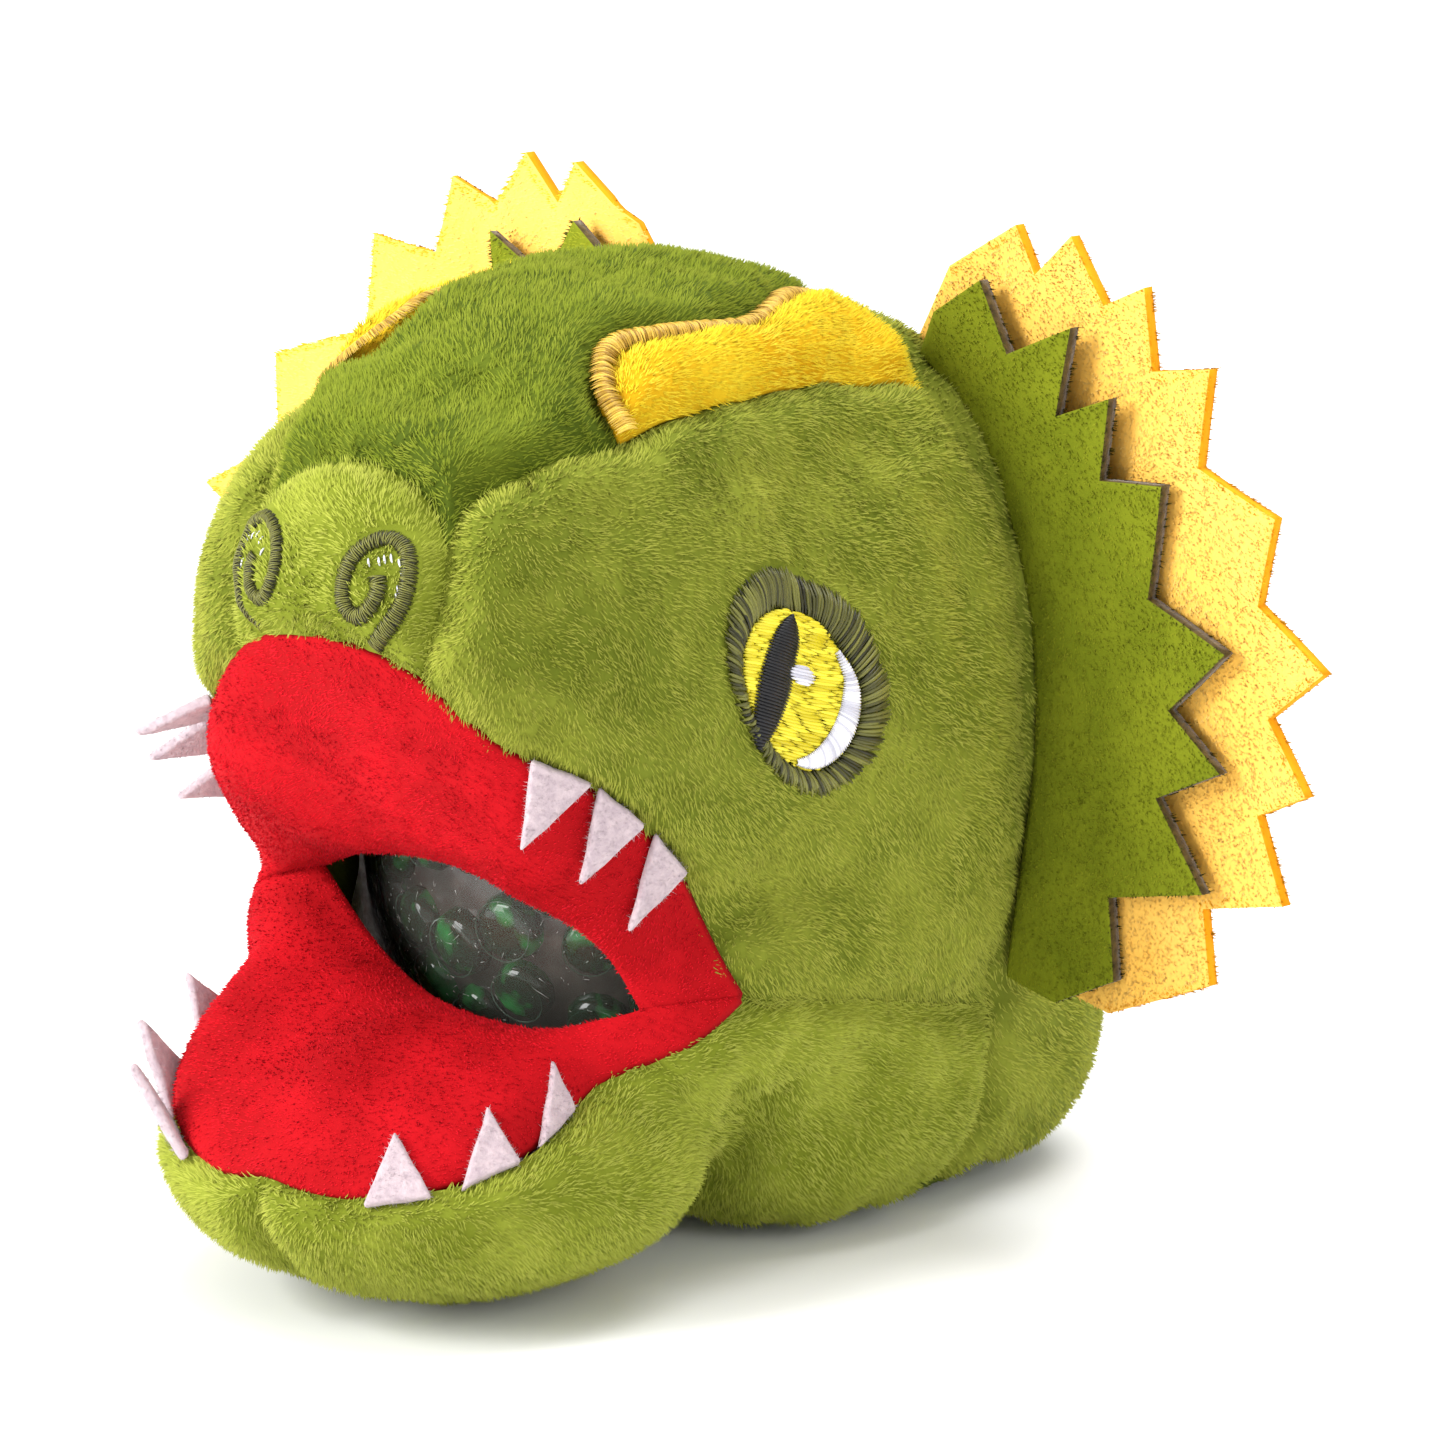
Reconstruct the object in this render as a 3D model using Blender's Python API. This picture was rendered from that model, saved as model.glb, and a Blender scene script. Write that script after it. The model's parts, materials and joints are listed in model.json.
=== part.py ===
"""Plush dinosaur head with a frill, an open mouth and a gel-bead squeeze ball behind the mouth slit.

Frame: +Z up, the face looks along -Y, +X is the dinosaur's own left, X = 0 is the plane of symmetry.
The origin lies on the floor, in the middle of the base panel. Sizes are in millimetres and are turned
to metres when a mesh is made.
"""
import bisect
import math

import bmesh
import bpy
from mathutils import Matrix, Vector

MM = 0.001

# --- driving dimensions, mm ------------------------------------------------------------------------
CLOTH = 2.0                  # plush cloth with its backing
SEAM_GAP = 0.35              # from the edge of a panel to the middle of its seam
BASE_SEAM_GAP = 1.2          # the base panel's edge turns up, so it keeps more
LINING = 1.5                 # thickness of the red mouth lining
LINING_INSET = 2.6           # the lining starts this far inside the outer surface
LINING_PARTING = 0.7         # half the gap between the upper and the lower lining
LIP_SAMPLES = 28             # spots along a lip where its lining is held inside the outer surface
FILLING_INSET = 3.2          # fibre filling below the outer surface
FELT = 1.2                   # thickness of a felt tooth
THREAD = 0.7                 # height of a satin-stitched patch
THREAD_GAP = 0.3             # between stitched layers
BALL_RADIUS = 29.0
BALL_WALL = 1.3
BALL_CENTRE = Vector((0.0, -15.5, 36.0))
BALL_HOLE_RADIUS = 3.0       # filling hole, at the back of the ball
BALL_PLAY = 0.4              # between the skin and the filling, before it is pressed
PLUG_PLAY = 0.3              # between the plug and its hole
PLUG_DEPTH = 0.9             # how far the plug reaches in from the skin
PLUG_SEAT = 0.5              # where its head starts outside the skin
PLUG_HEAD = 1.3              # where its head ends
PLUG_RIM = (1.2, 0.8)        # how much wider the head is than the stem, at its foot and at its top
CAVITY_PLAY = 1.0            # between the ball and the fibre filling around it
CAVITY_STRETCH = 1.06        # front to back, so the ball can be pressed
CAVITY_SHIFT = Vector((0, -0.5, 0))
FRILL_CLOTH = 1.8
FRILL_LAYER_GAP = 1.0        # between the green and the yellow flap
FRILL_ROOT_GAP = 1.3         # from the head to the inner edge of a flap
FRILL_SLOPE = -0.2           # the flaps lean forward by this much for each mm outward

# The head is a soft union of rounded bulges: centre, radii, roundness power and blend width.
HEART = Vector((0.0, -20.0, 35.0))    # a point from which every spot of the outer surface is seen
SEARCH_START = 110.0                  # outside the head from there, in every direction
SLOPE_STEP = 0.4                      # step for measuring the slope of the surface
BODY = ((0, -7, 51), (35.5, 32, 39.4), 2.2)
BULGES = (
    ((0, -1, 22), (31, 31, 25), 3.2, 5.0),         # broad foot of the head
    ((0, -30, 57), (31, 33, 32), 2.2, 6.0),        # cheeks
    ((0, -24, 66), (25, 28.5, 28.2), 2.75, 4.0),   # brow
    ((0, -41, 63), (24.5, 27, 25), 2.2, 5.0),      # snout
    ((0, -30, 28), (30, 26, 18), 2.2, 4.0),        # jowls
    ((0, -49.5, 14), (26.5, 27, 13.6), 1.9, 3.0),  # lower jaw
)

# Seam lines on the left half, as points close to the outer surface.
MOUTH_CORNER = (29.0, -37.8, 30.0)
UPPER_LIP_FRONT = ((0, -68, 66.3), (6, -67.4, 65.4), (11.6, -65, 62.5))
UPPER_LIP_SIDE = ((11.6, -65, 62.5), (17.8, -60, 55.8), (22.6, -52.5, 51), (25.7, -44.2, 42.6), MOUTH_CORNER)
LOWER_LIP = ((0, -74.8, 17.6), (6, -74.6, 16.4), (12, -71.5, 16.8), (18.3, -64.8, 18.6),
             (22.3, -54.2, 22), (26.2, -44.8, 25.2), MOUTH_CORNER)
NOSE_SIDE = ((11.6, -65, 62.5), (12.8, -63.4, 70), (12.4, -62.2, 76))
NOSE_ARCH = ((12.4, -62.2, 76), (9.9, -61.6, 80.2), (6, -60.6, 82.2), (0, -59.6, 83))
CROWN_FRONT_SIDE = ((12.4, -62.2, 76), (12.2, -58.5, 80.2), (16.4, -49, 82.8), (18.8, -43.6, 83.6))
CREST_OUTER = ((18.8, -43.6, 83.6), (21, -30.9, 85.3), (21.6, -16.3, 85.2), (22, -4.7, 84), (22.4, -0.4, 83.4))
CREST_FRONT = ((18.8, -43.6, 83.6), (15, -42.6, 87.2), (12.3, -38.4, 90.8))
CREST_INNER = ((12.3, -38.4, 90.8), (14, -32.5, 91.2), (15.9, -22.6, 90.7), (14.9, -17.5, 91.3),
               (12, -10.6, 91.6), (11, -5, 90.6), (11.5, 1, 90))
CREST_REAR = ((22.4, -0.4, 83.4), (18, 1.2, 87.5), (11.5, 1, 90))
CROWN_REAR = ((11.5, 1, 90), (6, 2, 91), (0, 2.4, 91))
CHEEK_REAR = ((22.4, -0.4, 83.4), (28.6, -1, 77.6), (34.6, -1, 61), (35.5, -1, 50), (33.4, 0, 37), (30.6, 0, 21))
CHEEK_BOTTOM = (MOUTH_CORNER, (31, -24, 26.3), (30.6, 0, 21))
SIDE_REAR = ((30.6, 0, 21), (30, -1.5, 14), (27.4, -4, 7), (23, -7, 2.2))
JAW_FOLD = ((0, -33, 1.8), (12, -34.5, 3.4), (21.5, -36.5, 8.5), (27, -37, 17), (28.6, -37.6, 24.5))
JAW_SIDE = (MOUTH_CORNER, (28.8, -37.7, 27.2), (28.6, -37.6, 24.5))
CHIN = ((0, -74.8, 17.6), (0, -75.8, 11), (0, -70, 4), (0, -58, 0.8), (0, -45, 0.6), (0, -33, 1.8))
BASE_FRONT = ((0, -25, 2.2), (12, -22, 2.2), (20, -15, 2.2), (23, -7, 2.2))
BASE_REAR = ((23, -7, 2.2), (23.6, 4, 2.2), (17, 17, 2.2), (0, 22.5, 2.2))
THROAT = ((0, -33, 1.8), (0, -25, 2.2))
SPINE = ((0, 2.4, 91), (0, 14, 84), (0, 24, 65), (0, 28, 45), (0, 30, 22), (0, 22.5, 2.2))

# The hand-cut slit between the linings, from the dinosaur's right end to its left end.
SLIT_RIGHT = (-18.0, -44.5, 36.8)
SLIT_LEFT = (21.0, -44.5, 29.2)
SLIT_TOP = (SLIT_RIGHT, (-8, -47.4, 40), (3, -48.3, 40.4), (11.6, -47.7, 38), (17.5, -46, 34.2), SLIT_LEFT)
SLIT_BOTTOM = (SLIT_RIGHT, (-9, -47.2, 31.4), (-1, -48.3, 28), (8, -48.4, 27), (14.5, -47.6, 27.2), SLIT_LEFT)
PALATE_BOW = Vector((0, -1.4, -1.6))      # how far the linings swell into the mouth
TONGUE_BOW = Vector((0, -0.6, 1.8))
PALATE_BACK = Vector((0, 0.6, 0.8))       # the way out of the mouth, towards the filling
TONGUE_BACK = Vector((0, 0.2, -0.98))

# Teeth: where the middle of each base sits along its lip (0 at the front, 1 at the corner).
TOOTH_PLACES = {
    "upper": {"front": 0.485, "middle": 0.605, "rear": 0.73},
    "lower": {"front": 0.275, "middle": 0.445, "rear": 0.575},
}
TOOTH_HALF_BASE = 3.2
TOOTH_SPAN = 0.04            # share of the lip on either side over which its direction is taken
TOOTH_START = 0.5            # from the lip to the base, mm
# The left teeth lean in over the mouth, the right ones stand out from the lip.
TOOTH_LEAN = {
    ("upper", "left"): Vector((-3.0, -2.0, -6.8)), ("upper", "right"): Vector((4.2, -4.4, -3.4)),
    ("lower", "left"): Vector((-2.6, 2.8, 4.8)), ("lower", "right"): Vector((2.8, -1.0, 5.8)),
}
TOOTH_DROP = {"upper": Vector((0, 0, -1.1)), "lower": Vector((0, 0, 0.5))}     # clears the lip on the right

# Zigzag edges of the left frill flaps in the XZ plane, tip, valley, tip, from the top round to the bottom.
YELLOW_EDGE = ((19.3, 92.5), (28.3, 97.7), (31, 93.2), (36.1, 97.7), (40.8, 91.7), (46.2, 94.2), (47.3, 86.3),
               (54.7, 87.6), (53.7, 78.1), (63.6, 74.8), (61.5, 66.1), (69.8, 61), (62.6, 55.3), (67.8, 48.8),
               (61.4, 45.7), (65.1, 37.7), (54.8, 35.3), (56.2, 28.1), (42.6, 22.3))
GREEN_EDGE = ((19.5, 88.4), (25.9, 92.4), (29.9, 85.8), (38.8, 89.7), (36.7, 80.8), (43.9, 83.6), (42.4, 75.4),
              (50.7, 76.2), (48.5, 64.8), (59, 61.4), (51.4, 54.5), (58.4, 49.7), (50.1, 45.7), (56.6, 37.6),
              (43.9, 34.6), (44.6, 26.3), (37, 22.6))
FRILL_TOP_X = 18.7           # where the depths of the two layers are counted from
YELLOW_Y = 6.6               # middle of the yellow flap there
GREEN_Y = YELLOW_Y - FRILL_CLOTH - FRILL_LAYER_GAP
ROOT_ZS = (24, 31, 38, 46, 54, 62, 70, 77, 82)     # heights of the spots along the inner edge

# Embroidery on the left side: centre and half sizes.
EYE_CENTRE = Vector((30.8, -32.3, 60.5))
EYE_SLANT = -0.36            # the oval of the eye leans: it drops towards the rear
EYE_OUTER = ((0.0, 0.4), (10.0, 11.2))     # middle and half sizes, towards the rear and up
EYE_INNER = ((-0.9, -0.7), (7.4, 7.6))
PUPIL_MIDDLE = (-4.4, 0.6)
PUPIL_HALF = (1.9, 5.9)
PUPIL_LEAN = math.radians(-25)
HIGHLIGHT_ANGLES = (math.radians(35), math.radians(-95))
HIGHLIGHT_WIDTH = 2.2
HIGHLIGHT_INSET = 0.5                      # from the edge of the iris
HIGHLIGHT_ENDS = 0.15                      # share of the width left at its two ends
GLINT_MIDDLE = (-0.6, 0.6)
GLINT_HALF = (1.7, 0.7)
NOSTRIL_CENTRE = Vector((8.4, -65.5, 71.2))
NOSTRIL_START = math.radians(-120)
NOSTRIL_TURNS = 1.6
NOSTRIL_HALF = (3.6, 5.0)
NOSTRIL_STROKE = 1.5         # width of the stitched swirl
NOSTRIL_CLOSING = 0.78       # how much of its size the swirl loses on its way in

# --- the shape of the head -------------------------------------------------------------------------


def bulge_value(point, centre, radii, power):
    """Below zero inside a rounded bulge, above zero outside it."""
    total = sum((abs(point[i] - centre[i]) / radii[i]) ** power for i in range(3))
    return (total ** (1.0 / power) - 1.0) * min(radii)


def skin_value(point):
    """Below zero inside the head. The bulges melt into each other, and the floor cuts them flat."""
    value = bulge_value(point, *BODY)
    for centre, radii, power, blend in BULGES:
        other = bulge_value(point, centre, radii, power)
        share = min(1.0, max(0.0, 0.5 + 0.5 * (other - value) / blend))
        value = other * (1 - share) + value * share - blend * share * (1 - share)
    return max(value, -point[2])


def skin_point(towards):
    """The outer surface in the direction of a point, seen from the heart of the head."""
    direction = (Vector(towards) - HEART).normalized()
    far = SEARCH_START
    while skin_value(HEART + direction * far) > 0:
        far -= 1.0
    near = far
    far += 1.0
    for _ in range(14):
        middle = 0.5 * (near + far)
        if skin_value(HEART + direction * middle) < 0:
            near = middle
        else:
            far = middle
    return HEART + direction * near


def skin_normal(point):
    steps = [Vector([SLOPE_STEP * (i == k) for k in range(3)]) for i in range(3)]
    slope = [skin_value(point + step) - skin_value(point - step) for step in steps]
    return Vector(slope).normalized()


def smooth_curve(points):
    """A function of 0..1 along a smooth curve through the points."""
    knots = [Vector(p) for p in points]
    places = [0.0]
    for a, b in zip(knots, knots[1:]):
        places.append(places[-1] + (b - a).length)

    def at(share):
        place = min(max(share, 0.0), 1.0) * places[-1]
        i = min(max(bisect.bisect_right(places, place) - 1, 0), len(knots) - 2)
        span = places[i + 1] - places[i]
        t = (place - places[i]) / span
        before = knots[max(i - 1, 0)]
        after = knots[min(i + 2, len(knots) - 1)]
        left_span = places[i + 1] - places[max(i - 1, 0)]
        right_span = places[min(i + 2, len(knots) - 1)] - places[i]
        left_pull = (knots[i + 1] - before) * (span / left_span)
        right_pull = (after - knots[i]) * (span / right_span)
        return (knots[i] * (2 * t ** 3 - 3 * t ** 2 + 1) + left_pull * (t ** 3 - 2 * t ** 2 + t)
                + knots[i + 1] * (3 * t ** 2 - 2 * t ** 3) + right_pull * (t ** 3 - t ** 2))

    return at


def mirrored(points):
    return tuple((-x, y, z) for x, y, z in points)


def there_and_back(points):
    """A line from its mirror image's outer end, through X = 0, to its own outer end."""
    inner_first = points if abs(points[0][0]) < abs(points[-1][0]) else points[::-1]
    return mirrored(inner_first[1:])[::-1] + tuple(inner_first)


def four_sided(bottom, top, start, end):
    """A surface of (s, t) between four curves: bottom and top run along s, start and end along t."""
    low, high, first, last = (smooth_curve(c) for c in (bottom, top, start, end))

    def at(s, t):
        corners = (low(0) * ((1 - s) * (1 - t)) + low(1) * (s * (1 - t))
                   + high(0) * ((1 - s) * t) + high(1) * (s * t))
        return low(s) * (1 - t) + high(s) * t + first(t) * (1 - s) + last(t) * s - corners

    return at


# --- making objects --------------------------------------------------------------------------------


def clear_scene():
    for old in list(bpy.data.objects):
        bpy.data.objects.remove(old, do_unlink=True)


def make_material(name, colour, roughness, metallic=0.0, alpha=1.0):
    material = bpy.data.materials.get(name) or bpy.data.materials.new(name)
    material.use_nodes = True
    shader = material.node_tree.nodes["Principled BSDF"]
    shader.inputs["Base Color"].default_value = (*colour, 1.0)
    shader.inputs["Roughness"].default_value = roughness
    shader.inputs["Metallic"].default_value = metallic
    shader.inputs["Alpha"].default_value = alpha
    return material


PLUSH_GREEN = ("plush_green", (0.27, 0.38, 0.045), 0.9)
PLUSH_LIGHT = ("plush_light_green", (0.35, 0.44, 0.08), 0.9)
PLUSH_DARK = ("plush_dark_green", (0.15, 0.25, 0.02), 0.9)
PLUSH_YELLOW = ("plush_yellow", (0.9, 0.6, 0.05), 0.9)
PLUSH_RED = ("plush_red", (0.75, 0.01, 0.02), 0.9)
FELT_WHITE = ("felt_white", (0.82, 0.78, 0.82), 0.95)
THREAD_OLIVE = ("thread_olive", (0.07, 0.07, 0.01), 0.5)
THREAD_YELLOW = ("thread_yellow", (0.75, 0.63, 0.02), 0.45)
THREAD_BLACK = ("thread_black", (0.01, 0.01, 0.012), 0.45)
THREAD_GREY = ("thread_grey", (0.65, 0.65, 0.72), 0.45)
FIBRE = ("fibre_filling", (0.85, 0.85, 0.83), 1.0)
CLEAR_SKIN = ("clear_soft_skin", (0.35, 0.42, 0.4), 0.15)
GEL = ("gel_beads", (0.01, 0.12, 0.03), 0.1)


def add_object(name, mesh_builder, finish, smooth_angle=40.0):
    """Close a bmesh made in millimetres into a named object in metres."""
    bmesh.ops.recalc_face_normals(mesh_builder, faces=mesh_builder.faces[:])
    bmesh.ops.scale(mesh_builder, vec=(MM, MM, MM), verts=mesh_builder.verts[:])
    mesh = bpy.data.meshes.new(name)
    mesh_builder.to_mesh(mesh)
    mesh_builder.free()
    mesh.shade_smooth()
    mesh.set_sharp_from_angle(angle=math.radians(smooth_angle))
    mesh.materials.append(make_material(*finish))
    thing = bpy.data.objects.new(name, mesh)
    bpy.context.scene.collection.objects.link(thing)
    return thing


def mirror_copy(name, source):
    """The right-hand twin of a left-hand object, with its faces turned back to point outwards."""
    mesh_builder = bmesh.new()
    mesh_builder.from_mesh(source.data)
    bmesh.ops.scale(mesh_builder, vec=(-1, 1, 1), verts=mesh_builder.verts[:])
    bmesh.ops.reverse_faces(mesh_builder, faces=mesh_builder.faces[:])
    mesh = source.data.copy()
    mesh.name = name
    mesh_builder.to_mesh(mesh)
    mesh_builder.free()
    thing = bpy.data.objects.new(name, mesh)
    bpy.context.scene.collection.objects.link(thing)
    return thing


def close_sheet(mesh_builder, inner_place):
    """Give a sheet its back face and its rim: the copy of each vertex goes to inner_place of its place."""
    rims = [edge for edge in mesh_builder.edges if edge.is_boundary]
    copy = bmesh.ops.duplicate(mesh_builder, geom=mesh_builder.faces[:])
    twin = copy["vert_map"]
    for edge in rims:
        a, b = edge.verts
        mesh_builder.faces.new((a, b, twin[b], twin[a]))
    for vert in [item for item in copy["geom"] if isinstance(item, bmesh.types.BMVert)]:
        vert.co = inner_place(vert.co)


def sheet_object(name, surface, inner_place, steps, finish, gaps=(SEAM_GAP,) * 4):
    """A closed sheet over (s, t) in 0..1. gaps: what it keeps from its start, end, bottom and top, mm."""
    along = sum((surface((i + 1) / 8, 0.5) - surface(i / 8, 0.5)).length for i in range(8))
    across = sum((surface(0.5, (i + 1) / 8) - surface(0.5, i / 8)).length for i in range(8))
    start, end, bottom, top = gaps
    s_low, s_high = start / along, 1 - end / along
    t_low, t_high = bottom / across, 1 - top / across
    mesh_builder = bmesh.new()
    bmesh.ops.create_grid(mesh_builder, x_segments=steps[0], y_segments=steps[1], size=0.5)
    for vert in mesh_builder.verts:
        s = s_low + (vert.co.x + 0.5) * (s_high - s_low)
        t = t_low + (vert.co.y + 0.5) * (t_high - t_low)
        vert.co = surface(s, t)
    close_sheet(mesh_builder, inner_place)
    return add_object(name, mesh_builder, finish)


def skin_panel(name, bottom, top, start, end, finish, steps=(8, 8), gaps=(SEAM_GAP,) * 4, puff=0.0):
    """A piece of plush cloth on the outer surface between four seams."""
    frame = four_sided(bottom, top, start, end)

    def surface(s, t):
        place = skin_point(frame(s, t))
        if puff:
            place += skin_normal(place) * (puff * 16 * s * (1 - s) * t * (1 - t))
        return place

    return sheet_object(name, surface, lambda co: co - skin_normal(co) * CLOTH, steps, finish, gaps)


def twin_panels(name, finish, sides, **options):
    """The left panel between four seams, and its mirror image on the right."""
    left = skin_panel(name + "_left", *sides, finish, **options)
    return left, mirror_copy(name + "_right", left)


def polar_sheet(rings, steps, place, inner_place, hole=0.0):
    """A closed round sheet. place takes a share of the radius (0 or the hole to 1) and an angle."""
    mesh_builder = bmesh.new()
    spoke = [mesh_builder.verts.new((hole + (1 - hole) * i / rings, 0, 0)) for i in range(rings + 1)]
    edges = [mesh_builder.edges.new(pair) for pair in zip(spoke, spoke[1:])]
    bmesh.ops.spin(mesh_builder, geom=spoke + edges, cent=(0, 0, 0), axis=(0, 0, 1), angle=math.tau,
                   steps=steps, use_merge=True)
    bmesh.ops.remove_doubles(mesh_builder, verts=mesh_builder.verts[:], dist=1e-4)
    for vert in mesh_builder.verts:
        vert.co = place(vert.co.xy.length, math.atan2(vert.co.y, vert.co.x))
    close_sheet(mesh_builder, inner_place)
    return mesh_builder


# --- outer cloth -----------------------------------------------------------------------------------


def make_outer_cloth():
    nose_top = there_and_back(NOSE_ARCH)
    nose_left = NOSE_SIDE
    skin_panel("nose_panel", there_and_back(UPPER_LIP_FRONT), nose_top, mirrored(nose_left), nose_left,
               PLUSH_LIGHT, steps=(10, 7))
    crown_left = CROWN_FRONT_SIDE + CREST_FRONT[1:] + CREST_INNER[1:]
    skin_panel("crown_panel", nose_top, there_and_back(CROWN_REAR), mirrored(crown_left), crown_left,
               PLUSH_DARK, steps=(8, 18))
    twin_panels("brow_crest", PLUSH_YELLOW, (CREST_OUTER, CREST_INNER, CREST_FRONT, CREST_REAR), steps=(8, 4),
                puff=1.2)
    twin_panels("cheek_panel", PLUSH_GREEN,
                (UPPER_LIP_SIDE + CHEEK_BOTTOM[1:], CROWN_FRONT_SIDE + CREST_OUTER[1:], NOSE_SIDE,
                 CHEEK_REAR[::-1]), steps=(16, 9))
    twin_panels("jaw_panel", PLUSH_LIGHT, (JAW_FOLD, LOWER_LIP, CHIN[::-1], JAW_SIDE[::-1]), steps=(12, 9))
    side_outer = BASE_FRONT + SIDE_REAR[::-1][1:]
    twin_panels("lower_side_cloth", PLUSH_LIGHT, (JAW_FOLD + (MOUTH_CORNER,), side_outer, THROAT, CHEEK_BOTTOM),
                steps=(13, 6))
    back_rim = CREST_REAR[::-1] + CHEEK_REAR[1:] + SIDE_REAR[1:]
    twin_panels("back_panel", PLUSH_GREEN, (back_rim, SPINE, CROWN_REAR, BASE_REAR), steps=(16, 7))


def make_base_panel():
    rim = smooth_curve(there_and_back(BASE_FRONT) + BASE_REAR[1:] + mirrored(BASE_REAR[1:-1])[::-1]
                       + (mirrored(BASE_FRONT)[-1],))
    middle = Vector((0, -5, 0))

    def place(share, angle):
        edge = rim((angle / math.tau) % 1.0)
        edge = middle + (edge - middle) * (1 - BASE_SEAM_GAP / (edge - middle).length)
        spot = middle.lerp(edge, share)
        return skin_point(spot)

    mesh_builder = polar_sheet(5, 36, place, lambda co: co - skin_normal(co) * CLOTH)
    add_object("base_panel", mesh_builder, PLUSH_DARK)


# --- mouth -----------------------------------------------------------------------------------------


def inside(point, depth):
    """A point at a depth below the outer surface."""
    spot = skin_point(point)
    return spot - skin_normal(spot) * depth


def make_lining(name, lip, slit, bow, parting, backing):
    """The cloth from the lip in to the slit. bow swells it into the mouth; backing points out of it."""
    whole_lip = smooth_curve(there_and_back(lip))
    lip_line = [inside(whole_lip(i / LIP_SAMPLES), LINING_INSET) + parting for i in range(LIP_SAMPLES + 1)]
    slit_line = [Vector(p) + parting for p in slit]
    frame = four_sided(lip_line, slit_line, (lip_line[0], slit_line[0]), (lip_line[-1], slit_line[-1]))

    def surface(s, t):
        return frame(s, t) + bow * (4 * t * (1 - t) * math.sin(math.pi * s))

    sheet_object(name, surface, lambda co: co + backing * LINING, (20, 6), PLUSH_RED, gaps=(0.5, 0.5, 0, 0))


def make_tooth(name, lean, drop, share, lip_curve, side):
    """A flat felt triangle whose base lies along the lip, half a cloth below the outer surface."""
    ends = []
    for step in (-TOOTH_SPAN, TOOTH_SPAN):
        ends.append(inside(lip_curve(share + step), 0.5 * CLOTH))
    along = (ends[1] - ends[0]).normalized()
    middle = (ends[0] + ends[1]) / 2 + lean.normalized() * TOOTH_START + drop
    corners = [middle - along * TOOTH_HALF_BASE, middle + along * TOOTH_HALF_BASE, middle + lean]
    across = along.cross(lean).normalized() * FELT
    mesh_builder = bmesh.new()
    mesh_builder.faces.new([mesh_builder.verts.new(c - across / 2) for c in corners])
    close_sheet(mesh_builder, lambda co: co + across)
    bmesh.ops.scale(mesh_builder, vec=(side, 1, 1), verts=mesh_builder.verts[:])
    add_object(name, mesh_builder, FELT_WHITE)


def make_mouth():
    upper_lip = UPPER_LIP_FRONT + UPPER_LIP_SIDE[1:]
    parting = Vector((0, 0, LINING_PARTING))
    make_lining("upper_mouth_lining", upper_lip, SLIT_TOP, PALATE_BOW, parting, PALATE_BACK)
    make_lining("lower_mouth_lining", LOWER_LIP, SLIT_BOTTOM, TONGUE_BOW, -parting, TONGUE_BACK)
    for jaw, lip in (("upper", upper_lip), ("lower", LOWER_LIP)):
        lip_curve = smooth_curve(lip)
        for place, share in TOOTH_PLACES[jaw].items():
            for side_name, side in (("left", 1), ("right", -1)):
                drop = TOOTH_DROP[jaw] if side_name == "right" else Vector()
                make_tooth(f"{jaw}_tooth_{place}_{side_name}", TOOTH_LEAN[jaw, side_name], drop, share, lip_curve,
                           side)


# --- embroidery ------------------------------------------------------------------------------------


def local_axes(centre):
    """A spot on the skin with its outward, rearward (or sideways) and upward directions."""
    spot = skin_point(centre)
    out = skin_normal(spot)
    side = Vector((0, 0, 1)).cross(out).normalized()
    return spot, out, side, out.cross(side)


def on_skin(axes, side_mm, up_mm, height):
    spot, _, side, up = axes
    place = skin_point(spot + side * side_mm + up * up_mm)
    return place + skin_normal(place) * height


def eye_oval(oval, share, angle, slant=EYE_SLANT):
    (middle_side, middle_up), (half_side, half_up) = oval
    side = share * half_side * math.cos(angle)
    return middle_side + side, middle_up + share * half_up * math.sin(angle) + slant * side


def stitched(name, mesh_builder_from, low, high, finish):
    """A left patch between two heights over the skin, and its twin on the right."""
    thread = mesh_builder_from(high, lambda co: co - skin_normal(co) * (high - low))
    left = add_object(name + "_left", thread, finish)
    mirror_copy(name + "_right", left)


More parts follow.
